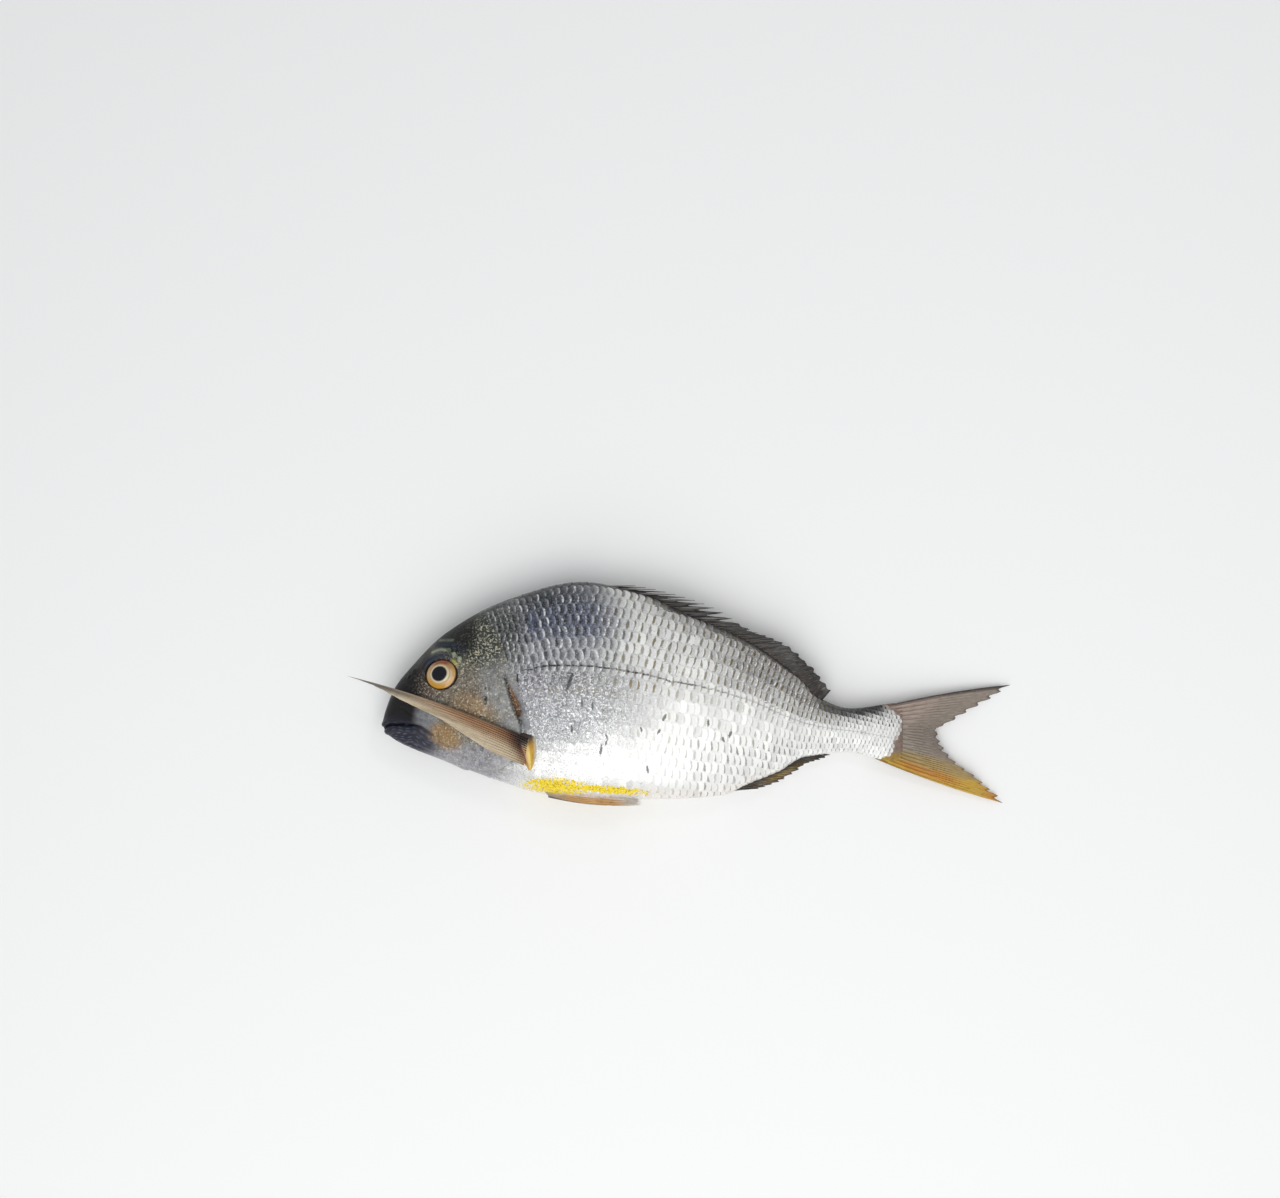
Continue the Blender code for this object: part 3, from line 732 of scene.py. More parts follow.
def scale_sites(side, rows, first, last, pitches):
    """The shares along, angles and rows of one flank's scales."""
    at = row_places(first, last, pitches[0])
    found = []
    for row in rows:
        along = at(0.5 * (row % 2))
        angle = ring_angle(along, row * pitches[1](along) * MM, side)
        known = ~np.isnan(angle)
        found.append(np.stack([along[known], angle[known], np.full(known.sum(), row)], 1))
    return np.concatenate(found).T


def plate_mesh():
    """One scale, a pitch across and along, whose x runs to its free edge and whose z is its outside."""
    steps, side_steps = PLATE_STEPS
    u, v = np.meshgrid(np.linspace(0, 1, steps + 1), np.linspace(-1, 1, side_steps + 1), indexing="ij")
    rear = PLATE_REAR - PLATE_CORNER * (1 - np.sqrt(np.maximum(1 - v**2, 0)))
    x = PLATE_FRONT + (rear - PLATE_FRONT) * u**0.8
    lift = TUCKED + (PROUD - TUCKED) * u - PLATE_BOW * v**2
    across = v * PLATE_HALF * (0.86 + 0.14 * u)
    top = np.stack([x, across, lift], -1).reshape(-1, 3)
    number = np.arange(u.size).reshape(u.shape)
    faces = [
        (number[i, j], number[i + 1, j], number[i + 1, j + 1], number[i, j + 1])
        for i in range(steps) for j in range(side_steps)
    ]
    loop = [*number[:, 0], *number[-1, 1:], *number[-2::-1, -1], *number[0, -2:0:-1]]
    below = u.size + np.arange(len(loop))
    rim = list(zip(loop, loop[1:] + loop[:1]))
    faces += [(a, low, next_low, b) for (a, b), low, next_low in zip(rim, below, np.roll(below, -1))]
    faces.append(below[::-1])
    mesh = bpy.data.meshes.new("plate")

    def with_under(values):
        return np.concatenate([values, values[loop] * (1, 1, 0) + (0, 0, PLATE_UNDER)])

    mesh.from_pydata(with_under(top).tolist(), [], [tuple(int(corner) for corner in face) for face in faces])
    mesh.shade_smooth()
    sharp = {frozenset(map(int, ends)) for ends in rim}
    for edge in mesh.edges:
        edge.use_edge_sharp = frozenset(edge.vertices) in sharp
    on_plate = np.stack([u, v, lift], -1).reshape(-1, 3)
    set_attribute(mesh, "on_plate", "FLOAT_VECTOR", with_under(on_plate))
    return mesh


def modelled_by(tree_name, source, inputs, build):
    """Runs a Geometry Nodes tree on a mesh, and gives the plain mesh it makes. build(graph, sockets) adds its
    nodes and gives the geometry they end in."""
    tree = bpy.data.node_groups.new(tree_name, "GeometryNodeTree")
    kinds = {bpy.types.Object: "NodeSocketObject", bpy.types.Material: "NodeSocketMaterial",
             int: "NodeSocketInt"}
    tree.interface.new_socket("Geometry", in_out="INPUT", socket_type="NodeSocketGeometry")
    tree.interface.new_socket("Geometry", in_out="OUTPUT", socket_type="NodeSocketGeometry")
    identifiers = {}
    for name, value in inputs.items():
        kind = next(kinds[k] for k in kinds if isinstance(value, k))
        identifiers[name] = tree.interface.new_socket(name, in_out="INPUT", socket_type=kind).identifier
    graph = Graph(tree)
    entry = tree.nodes.new("NodeGroupInput")
    sockets = {socket.name: Field(graph, socket) for socket in entry.outputs if socket.name}
    made = build(graph, sockets)
    made = graph.node("GeometryNodeSetMaterial", None, {"Geometry": made, "Material": sockets["Finish"]})
    leaving = tree.nodes.new("NodeGroupOutput")
    graph.feed(leaving.inputs["Geometry"], made)
    holder = bpy.data.objects.new(tree_name, source)
    scene.collection.objects.link(holder)
    modifier = holder.modifiers.new(tree_name, "NODES")
    modifier.node_group = tree
    for name, value in inputs.items():
        modifier[identifiers[name]] = value
    bpy.context.view_layer.update()
    result = bpy.data.meshes.new_from_object(holder.evaluated_get(bpy.context.evaluated_depsgraph_get()))
    bpy.data.objects.remove(holder)
    return result


def named(graph, name, kind="FLOAT_VECTOR"):
    """Numbers stored on the points that a tree is run on."""
    return graph.node("GeometryNodeInputNamedAttribute", {"data_type": kind}, {"Name": name})


def laid_on_skin(graph, sockets):
    """Plates on the points, bent to the skin."""
    plate, skin_form = (
        graph.node("GeometryNodeObjectInfo", None, {"Object": sockets[name]}, "Geometry")
        for name in ("Plate", "Skin")
    )
    turn = graph.node(
        "FunctionNodeAxesToRotation", {"primary_axis": "Z", "secondary_axis": "X"},
        {"Primary Axis": named(graph, "outward"), "Secondary Axis": named(graph, "rearward")},
    )
    plates = graph.node(
        "GeometryNodeInstanceOnPoints", None,
        {"Points": sockets["Geometry"], "Instance": plate, "Rotation": turn, "Scale": named(graph, "size")},
    )
    plates = graph.node("GeometryNodeRealizeInstances", None, {"Geometry": plates})
    here = graph.node("GeometryNodeInputPosition")
    nearest, out = (
        graph.node("GeometryNodeSampleNearestSurface", {"data_type": "FLOAT_VECTOR"},
                   {"Mesh": skin_form, "Sample Position": here, "Value": value})
        for value in (here, graph.node("GeometryNodeInputNormal"))
    )
    lift = graph.node("ShaderNodeSeparateXYZ", None, {"Vector": named(graph, "on_plate")}, "Z")
    lift = lift * named(graph, "stand", "FLOAT")
    raised = graph.node("ShaderNodeVectorMath", {"operation": "SCALE"}, {"Vector": out, "Scale": lift})
    place_at = graph.node("ShaderNodeVectorMath", {"operation": "ADD"}, {0: nearest, 1: raised})
    return graph.node("GeometryNodeSetPosition", None, {"Geometry": plates, "Position": place_at})


YELLOW_PATCHES = (  # their middles, half their sizes in mm, and their leans in degrees
    ((0.34, -0.228), (14.5, 4.2), -3), ((0.445, -0.243), (19, 2.0), -5),
)
YELLOW, YELLOW_DEEP, GOLD = colour(250, 224, 0), colour(190, 146, 0), colour(124, 106, 56)
# The first of these three is painted shade, for the gaps between rows and the shadow line at the plates'
# roots; the second serves painted shade at the plates' roots as well as their own dark nicks, pores, marks
# and mottling.
GAP_SHADE, PLATE_DARK, PLATE_WORN = colour(92, 92, 90), colour(22, 24, 30), colour(120, 120, 124)
# a bright colour for the painted highlights and glints on the plates
GLEAM = colour(250, 250, 248)
MARKS = (  # dark nicks and flecks: place, length in mm, half width in mm and lean in degrees
    ((0.368, 0.254), 8.5, 0.6, -20), ((0.548, 0.093), 3.4, 0.45, -25), ((0.5375, 0.03), 2.4, 0.4, -30),
    ((0.504, 0.039), 2.4, 0.35, 10), ((0.516, -0.144), 3.2, 0.35, 5), ((0.427, -0.054), 4.6, 0.45, -8),
    ((0.372, 0.042), 3.0, 0.4, 5), ((0.675, 0.016), 3.2, 0.45, -15), ((0.6615, -0.011), 2.6, 0.4, 20),
    ((0.632, 0.066), 3.0, 0.4, 0), ((0.391, 0.162), 3.2, 0.35, 0), ((0.411, 0.147), 3.0, 0.35, 0),
    ((0.438, 0.008), 3.0, 0.3, 15), ((0.268, 0.2725), 4.0, 0.45, 5), ((0.437, -0.02), 2.2, 0.3, -10),
)

scale_finish = Finish("scales", Coat_Weight=0.5, Coat_Roughness=0.15)
on_plate = scale_finish.read_colour("on_plate")
u, v = (scale_finish.node("ShaderNodeSeparateXYZ", None, {"Vector": on_plate}, axis) for axis in "XY")
tone, gold, dark, seam, line, edge, rear, fleck, veil = map(
    scale_finish.read, ("tone", "gold", "dark", "seam", "line", "edge", "rear", "fleck", "veil")
)
flank_x, flank_y = (
    scale_finish.node("ShaderNodeSeparateXYZ", None, {"Vector": scale_finish.here}, axis) for axis in "XY"
)
off_middle = abs(v)
cloud = scale_finish.noise(0.8 * MM, 3, 0.6)
fine = scale_finish.noise(0.5 * MM, 4, 0.75)
broad = scale_finish.noise(5 * MM, 3, 0.6)
rings = scale_finish.math("SINE", u * 46 + off_middle * off_middle * 14)
ragged_along = u + 0.2 * (cloud - 0.5)
inward = off_middle + 0.6 * (cloud - 0.5)
whole = between(0.42, 0.55, scale_finish.noise(1.3 * MM, 3, 0.6))
# painted highlight: a bright crescent along each plate's free edge, where its curve catches the light
painted_edge_highlight = between(0.84, 0.9, ragged_along + 0.06 * tone) * (1 - between(0.45, 0.85, inward)) * edge
painted_edge_highlight = painted_edge_highlight * (0.15 + 0.85 * whole)
# painted glints: small bright specks of sparkle on the plates
painted_glints = between(0.54, 0.6, scale_finish.noise(0.65 * MM, 3, 0.6, distortion=1.2)) * fleck
nicks = between(0.58, 0.66, scale_finish.noise(0.7 * MM, 3, 0.7, distortion=0.8)) * fleck
# painted shade at each plate's root, just behind the free edge of the plate in front
root_shade = 1 - between(0.52 - 0.02 * rear, 0.84 - 0.24 * rear, ragged_along)
# painted shade along the gaps between rows, at each plate's sides
edge_line = between(0.7, 1.0, off_middle)
dash = (1 - between(0.5, 0.58, ragged_along)) * (1 - between(0.4, 0.85, off_middle))
# painted shadow: a thin dark line at each plate's root, under the free edge of the plate in front
root_shadow_line = (1 - between(0.5, 0.56, ragged_along)) * veil
pores = line * (1 - between(0.06, 0.2, off_middle + 0.35 * (cloud - 0.5)))
pores = pores * between(0.4, 0.5, u) * (0.35 + 0.65 * whole)


def oval(spot, half_along, half_up, lean):
    """Nought at the middle of an oval patch of the flank, and one at its edge."""
    c, s = np.cos(np.radians(lean)), np.sin(np.radians(lean))
    x, y = flank_x - (SNOUT_X + spot[0] * BODY_LENGTH), flank_y - (AXIS_Y + spot[1] * BODY_DEPTH)
    away = ((x * c + y * s) / (half_along * MM)) ** 2 + ((y * c - x * s) / (half_up * MM)) ** 2
    return scale_finish.math("SQRT", away)


patch = scale_finish.math("MINIMUM", *(oval(spot, *half, lean) for spot, half, lean in YELLOW_PATCHES))
patch = patch * patch + 3.4 * (scale_finish.noise(1.3 * MM, 3, 0.7) - 0.5)
patch = 1 - between(0.55, 0.8, patch)
deep = patch * between(0.5, 0.62, scale_finish.noise(0.7 * MM, distortion=0.8))
paint = scale_finish.read_colour("tint")
for cover, shade in (
    (0.35 * tone * (1 - 0.4 * rear), PLATE_WORN),
    (between(0.52, 0.64, fine) * (0.1 + 0.4 * scale_finish.read("bright")), SILVER),
    (0.5 * between(0.48, 0.36, fine) * (1 - rear), PLATE_DARK),
    # painted shade at the plates' roots
    (root_shade * dark, PLATE_DARK),
    # painted shade in the gaps between rows, and the painted shadow line at the plates' roots
    (scale_finish.math("MAXIMUM", edge_line * seam, 0.7 * root_shadow_line), GAP_SHADE),
    (0.75 * nicks, PLATE_DARK),
    # painted highlights along the free edges, and painted glints over the plates
    (scale_finish.math("MAXIMUM", painted_edge_highlight * 0.95, 0.6 * painted_glints), GLEAM),
    (dash * gold, GOLD),
    (pores, PLATE_DARK),
    (patch, YELLOW),
    (deep, YELLOW_DEEP),
):
    paint = blend(cover, paint, shade)
for spot, length, half, lean in MARKS:
    nick = oval(spot, 1.5 * half, 0.6 * length, lean) + 1.4 * (cloud - 0.5)
    paint = blend(0.85 * (1 - between(0.6, 1.0, nick)), paint, PLATE_DARK)
scale_finish.put(
    Base_Color=paint,
    Metallic=(0.5 - 0.3 * painted_edge_highlight) * (1 - 0.7 * patch) * (1 - 0.8 * rear),
    Roughness=0.22 + 0.2 * cloud + 0.15 * tone,
    Normal=scale_finish.bump(rings * 0.15 + cloud + fine + broad, 0.06 * MM, 0.9),
)

plate_holder = bpy.data.objects.new("plate", plate_mesh())
scene.collection.objects.link(plate_holder)


def scale_points(name, along, angle, row, pitches, random):
    """A mesh of points, one to a scale, that hold all that its plate needs."""
    on_the_head = pitches is HEAD_PITCHES
    count = len(along)
    loose = row != 0
    along = along + loose * random.normal(0, 0.06, count) * pitches[0](along) * MM / BODY_LENGTH
    angle = angle + loose * random.normal(0, 0.006, count)
    up, rise = up_of(along, angle), np.sin(angle)

    def fade(share, start, end):
        return 1 - ramp(start, end, share)

    step = 0.002
    spot = skin_at(along, angle)
    rearward = skin_at(along + step, angle) - skin_at(along - step, angle)
    outward = np.cross(rearward, skin_at(along, angle + step) - skin_at(along, angle - step))
    outward /= np.linalg.norm(outward, axis=-1, keepdims=True)
    rearward /= np.linalg.norm(rearward, axis=-1, keepdims=True)
    sway = np.cross(outward, rearward) * random.normal(0, 0.1, (count, 1))
    tint = pigment(along, up, rise) * random.normal(1, 0.08, (count, 1)).clip(0.8, 1.2)
    size = np.stack([pitches[0](along) * MM, pitches[1](along) * MM, np.ones(count)], 1)
    size[:, :2] *= random.normal(1, 0.03, (count, 1)).clip(0.9, 1.1)

    behind_head, rear = ramp(0.24, 0.3, along), ramp(0.4, 0.52, along)
    stalk = 0.3 * ramp(0.82, 0.86, along)
    odd_row = row % 2
    quiet = blob(along, up, (0.34, 0.1), (38, 22)) * ramp(0.33, 0.29, up + 0.1 * (along - 0.35))
    gold = rear * (0.4 + 0.4 * ramp(0.0, 0.35, rise)) * ramp(-0.8, -0.3, rise) * fade(along, 0.86, 0.93)
    gold = gold * (0.7 + 0.3 * odd_row) + 0.5 * blob(along, up, (0.4, 0.22), (30, 4))
    # how deep the painted shade at each plate's root is; on odd rows at the rear it also darkens the flank's
    # stripes
    dark = 0.4 + 0.35 * rear * ramp(0.1, 0.3, rise) + 0.5 * blob(along, up, (0.33, 0.5), (30, 20))
    dark += ramp(0.62, 0.75, along) * (0.3 * ramp(0.1, 0.6, rise) + 0.3 * odd_row * ramp(0.0, 0.3, rise))
    dark *= (1 - 0.85 * blob(along, up, (0.48, 0.0), (58, 22), 8, 0.4)) * ramp(-1, -0.4, rise)
    # how much painted shade lies in the gaps between rows
    seam = 0.25 * rear * ramp(0.1, 0.4, rise) + 0.15 * behind_head * ramp(-0.7, -0.2, rise)
    line = (row == 0) * behind_head * (0.95 - 0.5 * ramp(0.5, 0.75, along)) * (not on_the_head)
    # how strongly each plate's painted edge highlight shows
    edge = random.uniform(0.2, 1, count) * (1 - 0.8 * quiet) * fade(rise, 0.93 - stalk, 0.98 - stalk)
    # where the plates carry painted glints, and the dark nicks that are their own marks
    fleck = quiet + 0.45 * (1 - rear) * ramp(-0.05, 0.3, up) + 0.6 * rear * ramp(0.0, 0.5, rise)
    fleck += 0.6 * fade(along, 0.3, 0.42) * ramp(-0.05, -0.15, up)
    fleck *= fade(rise, 0.9 - stalk, 0.97 - stalk)
    striped = ramp(0.56, 0.66, along) * fade(along, 0.84, 0.92)
    striped *= ramp(0.05, 0.2, rise) * ramp(0.95, 0.75, rise)
    tint *= 1 - (0.32 * odd_row * striped * random.uniform(0.7, 1, count))[:, None]
    # where the painted shadow line at the plates' roots shows, on the lower rear flank
    veil = ramp(0.5, 0.62, along) * ramp(-0.15, -0.45, rise) * random.uniform(0.3, 1, count)
    tone = random.random(count) ** 2 * ramp(-0.7, 0.1, rise) * (1 - 0.5 * quiet)
    if on_the_head:
        tint *= random.uniform(0.75, 1.2, (count, 1))
    stand = mix(0.6, 1, ramp(0.3 * MM, 2.5 * MM, spot[:, 2])) * random.uniform(0.55, 0.95, count)
    stand *= (1 - 0.4 * quiet) * np.minimum(pitches[0](along) / 2.6, 1) * (0.6 if on_the_head else 1)
    gold = gold * random.uniform(0.4, 1, count)
    dark = dark * random.uniform(0.6, 1, count)

    mesh = bpy.data.meshes.new(name)
    mesh.from_pydata(spot.tolist(), [], [])
    set_attribute(mesh, "tint", "FLOAT_COLOR", tint.clip(0, 1))
    for key, values in (("outward", outward), ("rearward", rearward + sway), ("size", size)):
        set_attribute(mesh, key, "FLOAT_VECTOR", values)
    for key, values in (
        ("tone", tone), ("fleck", fleck), ("veil", veil), ("gold", gold), ("dark", dark), ("seam", seam),
        ("line", line), ("stand", stand), ("edge", edge), ("rear", rear), ("spots", mosaic(along, up)),
        ("bright", brightness(tint)),
    ):
        set_attribute(mesh, key, "FLOAT", values)
    return mesh


def on_body(along, up):
    """Whether a body scale grows there, behind the head and in front of the tail fin."""
    behind, _ = beside(SCALED_FROM, along, up)
    shoulder = ramp(-0.02, 0.04, up) * (1 - ramp(0.26, 0.32, up))
    return (behind > 1.2 + 3.2 * shoulder) & (along < scaled_to(up))


def on_head(along, up):
    """Small scales cover the cheek, the gill cover and the temple, but not the folds between them."""
    behind, gill, flange = (beside(line, along, up)[0] for line in (SCALED_FROM, GILL_EDGE, PREOPERCLE))
    scaled = (behind < 1.5) & (from_eye(along, up) > 8.2) & (along > HEAD_SCALED + 0.35 * (up - 0.2) ** 2)
    pit = np.hypot((along - CHEEK_PIT[0]) * BODY_LENGTH, (up - CHEEK_PIT[1]) * BODY_DEPTH / 2) / MM
    scaled &= pit > 1.4
    scaled &= ((gill < -2.0) | (up > 0.34)) & (np.abs(flange) > 0.9) & (up > -0.16)
    return scaled & (up < 2.3 * along + 0.1) & ~((up < 0.05) & (along < 0.155))


for label, side in SIDES:
    for name, pitches, rows, first, last, wanted, finish in (
        ("scales", BODY_PITCHES, range(-16, 12), 0.14, FLESH_END, on_body, scale_finish),
        ("head_scales", HEAD_PITCHES, range(-30, 24), HEAD_SCALED, 0.29, on_head, skin_finish),
    ):
        random = np.random.default_rng(7 + side)
        along, angle, row = scale_sites(side, rows, first, last, pitches)
        kept = wanted(along, up_of(along, angle))
        points = scale_points(f"{label}_{name}_points", along[kept], angle[kept], row[kept], pitches, random)
        inputs = {"Plate": plate_holder, "Skin": skin, "Finish": finish.material}
        scales_mesh = modelled_by(f"{label}_{name}", points, inputs, laid_on_skin)
        add_piece(f"{label}_{name}", scales_mesh, None)
bpy.data.objects.remove(plate_holder)

# -------------------------------------------------------------------------------------------------- eyes
# Each eye is a clear wet dome over a gold iris with a brown rim, around a blue-black pupil. It sits in a
# socket of skin. The iris is darkest above and orange below.

EYE_HALF = 7.2, 6.5, 3.7  # mm, along, across and outwards
EYE_SINK = 1.9 * MM  # of its middle under the skin
EYE_RINGS, EYE_ROUND = 60, 72
EYE_CROWDING = 0.3  # over nought puts more of the rings on its front and back
PUPIL, PUPIL_PROUD = 3.4, 0.16  # mm, its radius and how far it stands out; the iris is sunk as far round it
PUPIL_BLACK, IRIS_PALE, IRIS_GOLD = colour(8, 11, 24), colour(230, 214, 178), colour(190, 162, 116)
IRIS_RED, EYE_RIM, EYE_WHITE = colour(138, 66, 26), colour(44, 28, 18), colour(212, 198, 182)
EYE_GOLD_LOW, EYE_THREAD = colour(198, 144, 38), colour(90, 66, 44)

eye_finish = Finish("eye", Coat_Roughness=0.03, Specular_IOR_Level=0.3)
threads = eye_finish.noise(0.5 * MM, 4, 0.7)
eye_finish.put(
    Base_Color=blend(0.35 * between(0.5, 0.75, threads), eye_finish.read_colour("tint"), EYE_THREAD),
    Roughness=0.2 + 0.2 * threads,
    Coat_Weight=eye_finish.read("wet"),
    Normal=eye_finish.bump(threads, 0.04 * MM, 0.5),
)


def outward_at(along, up, side):
    """The way straight out of the skin at a place."""
    angle = angle_at(along, up, side)
    way = np.cross(
        skin_at(along + 0.004, angle) - skin_at(along - 0.004, angle),
        skin_at(along, angle + 0.01) - skin_at(along, angle - 0.01),
    )
    return Vector(way / np.linalg.norm(way))


for label, side in SIDES:
    pole = np.linspace(0.002, np.pi - 0.002, EYE_RINGS)
    pole = pole - EYE_CROWDING * np.sin(2 * pole)
    out, round_it = np.meshgrid(pole, np.arange(EYE_ROUND) * 2 * np.pi / EYE_ROUND, indexing="ij")
    across = np.sin(out)
    from_middle = across * EYE_HALF[0]
    front = np.cos(out) > 0
    bulge = 1 - ramp(PUPIL - 0.4, PUPIL + 0.4, from_middle) - ridge(from_middle - 4.1, 0.7)
    bulge = np.where(front, PUPIL_PROUD * bulge, 0)
    local = np.stack(
        [across * np.cos(round_it) * EYE_HALF[0], across * np.sin(round_it) * EYE_HALF[1],
         np.cos(out) * EYE_HALF[2] + bulge], -1
    ) * MM
    outward = outward_at(*EYE, side)
    turn = np.array(Vector((0, 0, side)).rotation_difference(outward).to_matrix())
    if side < 0:
        local = (local * (1, -1, -1))[:, ::-1]
    middle_of_eye = skin_at(np.array(EYE[0]), angle_at(*np.array(EYE), side)) - np.array(outward) * EYE_SINK
    grid = local @ turn.T + middle_of_eye
    tint = plain(PUPIL_BLACK, from_middle)
    round_of = round_it if side > 0 else round_it[:, ::-1]
    top = np.sin(round_of)
    for paint, cover in (
        (IRIS_PALE, ramp(PUPIL - 0.1, PUPIL + 0.15, from_middle)),
        (IRIS_GOLD, ramp(3.7, 4.2, from_middle)),
        (EYE_GOLD_LOW, ramp(4.2, 5.0, from_middle) * ramp(0.1, 0.8, -top)),
        (IRIS_RED, ramp(4.0, 5.0, from_middle) * ramp(0.35, 0.85, top + 0.15 * np.sin(5 * round_of))),
        (EYE_WHITE,
         0.7 * ridge(from_middle - 4.9, 0.35) * ramp(0.0, 0.6, np.cos(round_of)) * ramp(0.6, 0.2, top)),
        (EYE_GOLD_LOW, 0.9 * ridge(from_middle - 5.75, 0.4) * ramp(0.8, 0.4, top)),
        (EYE_RIM, ramp(6.15, 6.5, from_middle)),
    ):
        lay(tint, paint, cover)
    tint[~front] = EYE_RIM
    eye_mesh = closed_tube(f"{label}_eye_dome", grid)
    set_attribute(eye_mesh, "tint", "FLOAT_COLOR",
                  np.concatenate([tint.reshape(-1, 3), [PUPIL_BLACK, EYE_RIM]]))
    wet = mix(0.12, 0.9, ramp(PUPIL - 0.3, PUPIL + 0.3, from_middle))
    set_attribute(eye_mesh, "wet", "FLOAT", np.concatenate([wet.ravel(), [0.12, 0.9]]))
    add_piece(f"{label}_eye_dome", eye_mesh, eye_finish.material, [f"{label}_eye"])

# -------------------------------------------------------------------------------------------------- fins
# A fin is a thin skin over jointed rays that fork towards its edge. It is built as two faces of a sheet,
# whose rays stand out on both, with an edge that is notched between the rays and a little torn.

JOINT = 1.1  # mm, of a ray's segments
WEB_THINNEST = 0.06 * MM  # half the thickness of a fin's rim
WAVE = 0.35 * MM  # how far a web is rippled


def fan(root, tip, height, bow=lambda share: 0.0):
    """Rays from root(share) to tip(share) in the side view, at the height(along, up, share, reach)."""

    def ray_end(share, reach):
        (along, up), (tip_along, tip_up) = root(share), tip(share)
        along = along + (tip_along - along) * reach
        up = up + (tip_up - up) * reach + bow(share) * 4 * reach * (1 - reach)
        return place(along, up, height(along, up, share, reach))

    return ray_end


def ray_pattern(share, reach, rays, forks):
    """How much of a ray is there, from 0 between rays to 1 on one. Rays fork at the reaches in forks."""
    pattern = np.abs(np.cos(np.pi * share * (rays - 1)))
    for fork, at in enumerate(forks, 1):
        forked = np.abs(np.cos(np.pi * (share * (rays - 1) * 2**fork + 0.5)))
        pattern = mix(pattern, forked, ramp(at, at + 0.12, reach))
    return pattern**2


def add_fin(name, ray_end, rays, paint, root_thick, edge_thick, relief=0.22, forks=(0.45, 0.72),
            notch=lambda share: 0.05, torn=0.05, fine=(14, 60), *, seed):
    """Adds a fin as a closed mesh, of two faces and their edge. Its thicknesses and relief are in mm, notch
    and torn are shares of its rays, and fine is the faces between two rays and along one."""
    random = np.random.default_rng(seed)
    columns = (rays - 1) * fine[0]
    share, reach = np.meshgrid(np.linspace(0, 1, columns + 1), np.linspace(0, 1, fine[1]), indexing="ij")
    between_rays = np.sin(np.pi * share * (rays - 1)) ** 2
    ends = ramp(0, 0.08, share[:, :1]) * ramp(1, 0.92, share[:, :1])
    tears = np.repeat(random.random(rays * 4) ** 4, 1 + columns // (rays * 4 - 1))[: columns + 1]
    ragged = torn * ends * (tears[:, None] + 0.5 * random.random((columns + 1, 1)))
    end = 1 - (notch(share) * between_rays + ragged) * ramp(0.3, 1.0, reach)
    spot = ray_end(share, reach * end)
    ray = ray_pattern(share, reach, rays, forks)
    length = np.linalg.norm(np.diff(spot, axis=1), axis=-1).sum(1, keepdims=True) / MM
    joints = 0.03 * np.cos(2 * np.pi * reach * length / JOINT) * ramp(0.15, 0.3, reach)
    thick = mix(root_thick, edge_thick, ramp(0, 0.9, reach)) / 2
    thick = thick * mix(0.55, 1.0, ray) + relief * ray * (1 + joints) * (1 - 0.75 * reach)
    rim = ramp(0, 0.012, share) * ramp(0, 0.012, 1 - share) * ramp(0, 0.02, 1 - reach)
    thick = np.maximum(thick * (0.25 + 0.75 * rim) * MM, WEB_THINNEST)
    wave = WAVE * np.sin(share * 23 + 3 * reach) * ramp(0.3, 1.0, reach)
    points = np.stack([spot, spot])
    points[0, ..., 2] += wave + thick
    points[1, ..., 2] += wave - thick
    points[..., 2] = np.maximum(points[..., 2], 0)
    n, m = share.shape
    number = np.arange(n * m).reshape(n, m)
    faces = np.stack([number[:-1, :-1], number[1:, :-1], number[1:, 1:], number[:-1, 1:]], -1).reshape(-1, 4)
    loop = np.concatenate([number[:-1, 0], number[-1, :-1], number[:0:-1, -1], number[0, :0:-1]])
    after = np.roll(loop, -1)
    sides = np.stack([after, loop, loop + n * m, after + n * m], -1)
    faces = np.concatenate([faces, faces[:, ::-1] + n * m, sides])
    run = np.cross(spot[-1, m // 2] - spot[0, m // 2], spot[n // 2, -1] - spot[n // 2, 0])
    if run[2] < 0:
        faces = faces[:, ::-1]
    mesh = bpy.data.meshes.new(name)
    mesh.from_pydata(points.reshape(-1, 3).tolist(), [], faces.tolist())
    mesh.shade_smooth()
    tint = paint(share, reach, ray).reshape(-1, 3)
    set_attribute(mesh, "tint", "FLOAT_COLOR", np.tile(tint, (2, 1)).clip(0, 1))
    set_attribute(mesh, "ray", "FLOAT", np.tile(ray.ravel(), 2))
    width = np.linalg.norm(spot[-1, m // 2] - spot[0, m // 2]) / MM
    along_rays = np.stack([share * width * 2.5, reach * length * 0.3, share * 0], -1).reshape(-1, 3)
    set_attribute(mesh, "along_rays", "FLOAT_VECTOR", np.tile(along_rays, (2, 1)))
    add_piece(name, mesh, fin_finish.material)


FIN_STREAK, FIN_CREAM, FIN_BLOTCH = colour(70, 50, 38), colour(226, 212, 190), colour(52, 44, 40)
fin_finish = Finish("fin", Coat_Weight=0.3, Coat_Roughness=0.22, Specular_IOR_Level=0.4)
streaks = fin_finish.noise(1.0, 4, 0.7, where=fin_finish.read_colour("along_rays"))
blotches = fin_finish.noise(2.2 * MM, 4, 0.65)
ray = fin_finish.read("ray")
shade = blend(0.45 * between(0.45, 0.8, streaks), fin_finish.read_colour("tint"), FIN_STREAK)
shade = blend(0.18 * between(0.5, 0.3, streaks), shade, FIN_CREAM)
fin_finish.put(
    Base_Color=blend(0.3 * between(0.5, 0.8, blotches), shade, FIN_BLOTCH),
    Roughness=0.34 + 0.2 * blotches,
    Normal=fin_finish.bump(streaks + 0.5 * ray, 0.1 * MM, 0.8),
)


def painted(*layers):
    """A fin's paint: a first colour, then colours with their cover(share, reach, ray)."""

    def paint(share, reach, ray):
        tint = plain(layers[0], share)
        for shade, cover in layers[1:]:
            lay(tint, shade, cover(share, reach, ray))
        return tint

    return paint


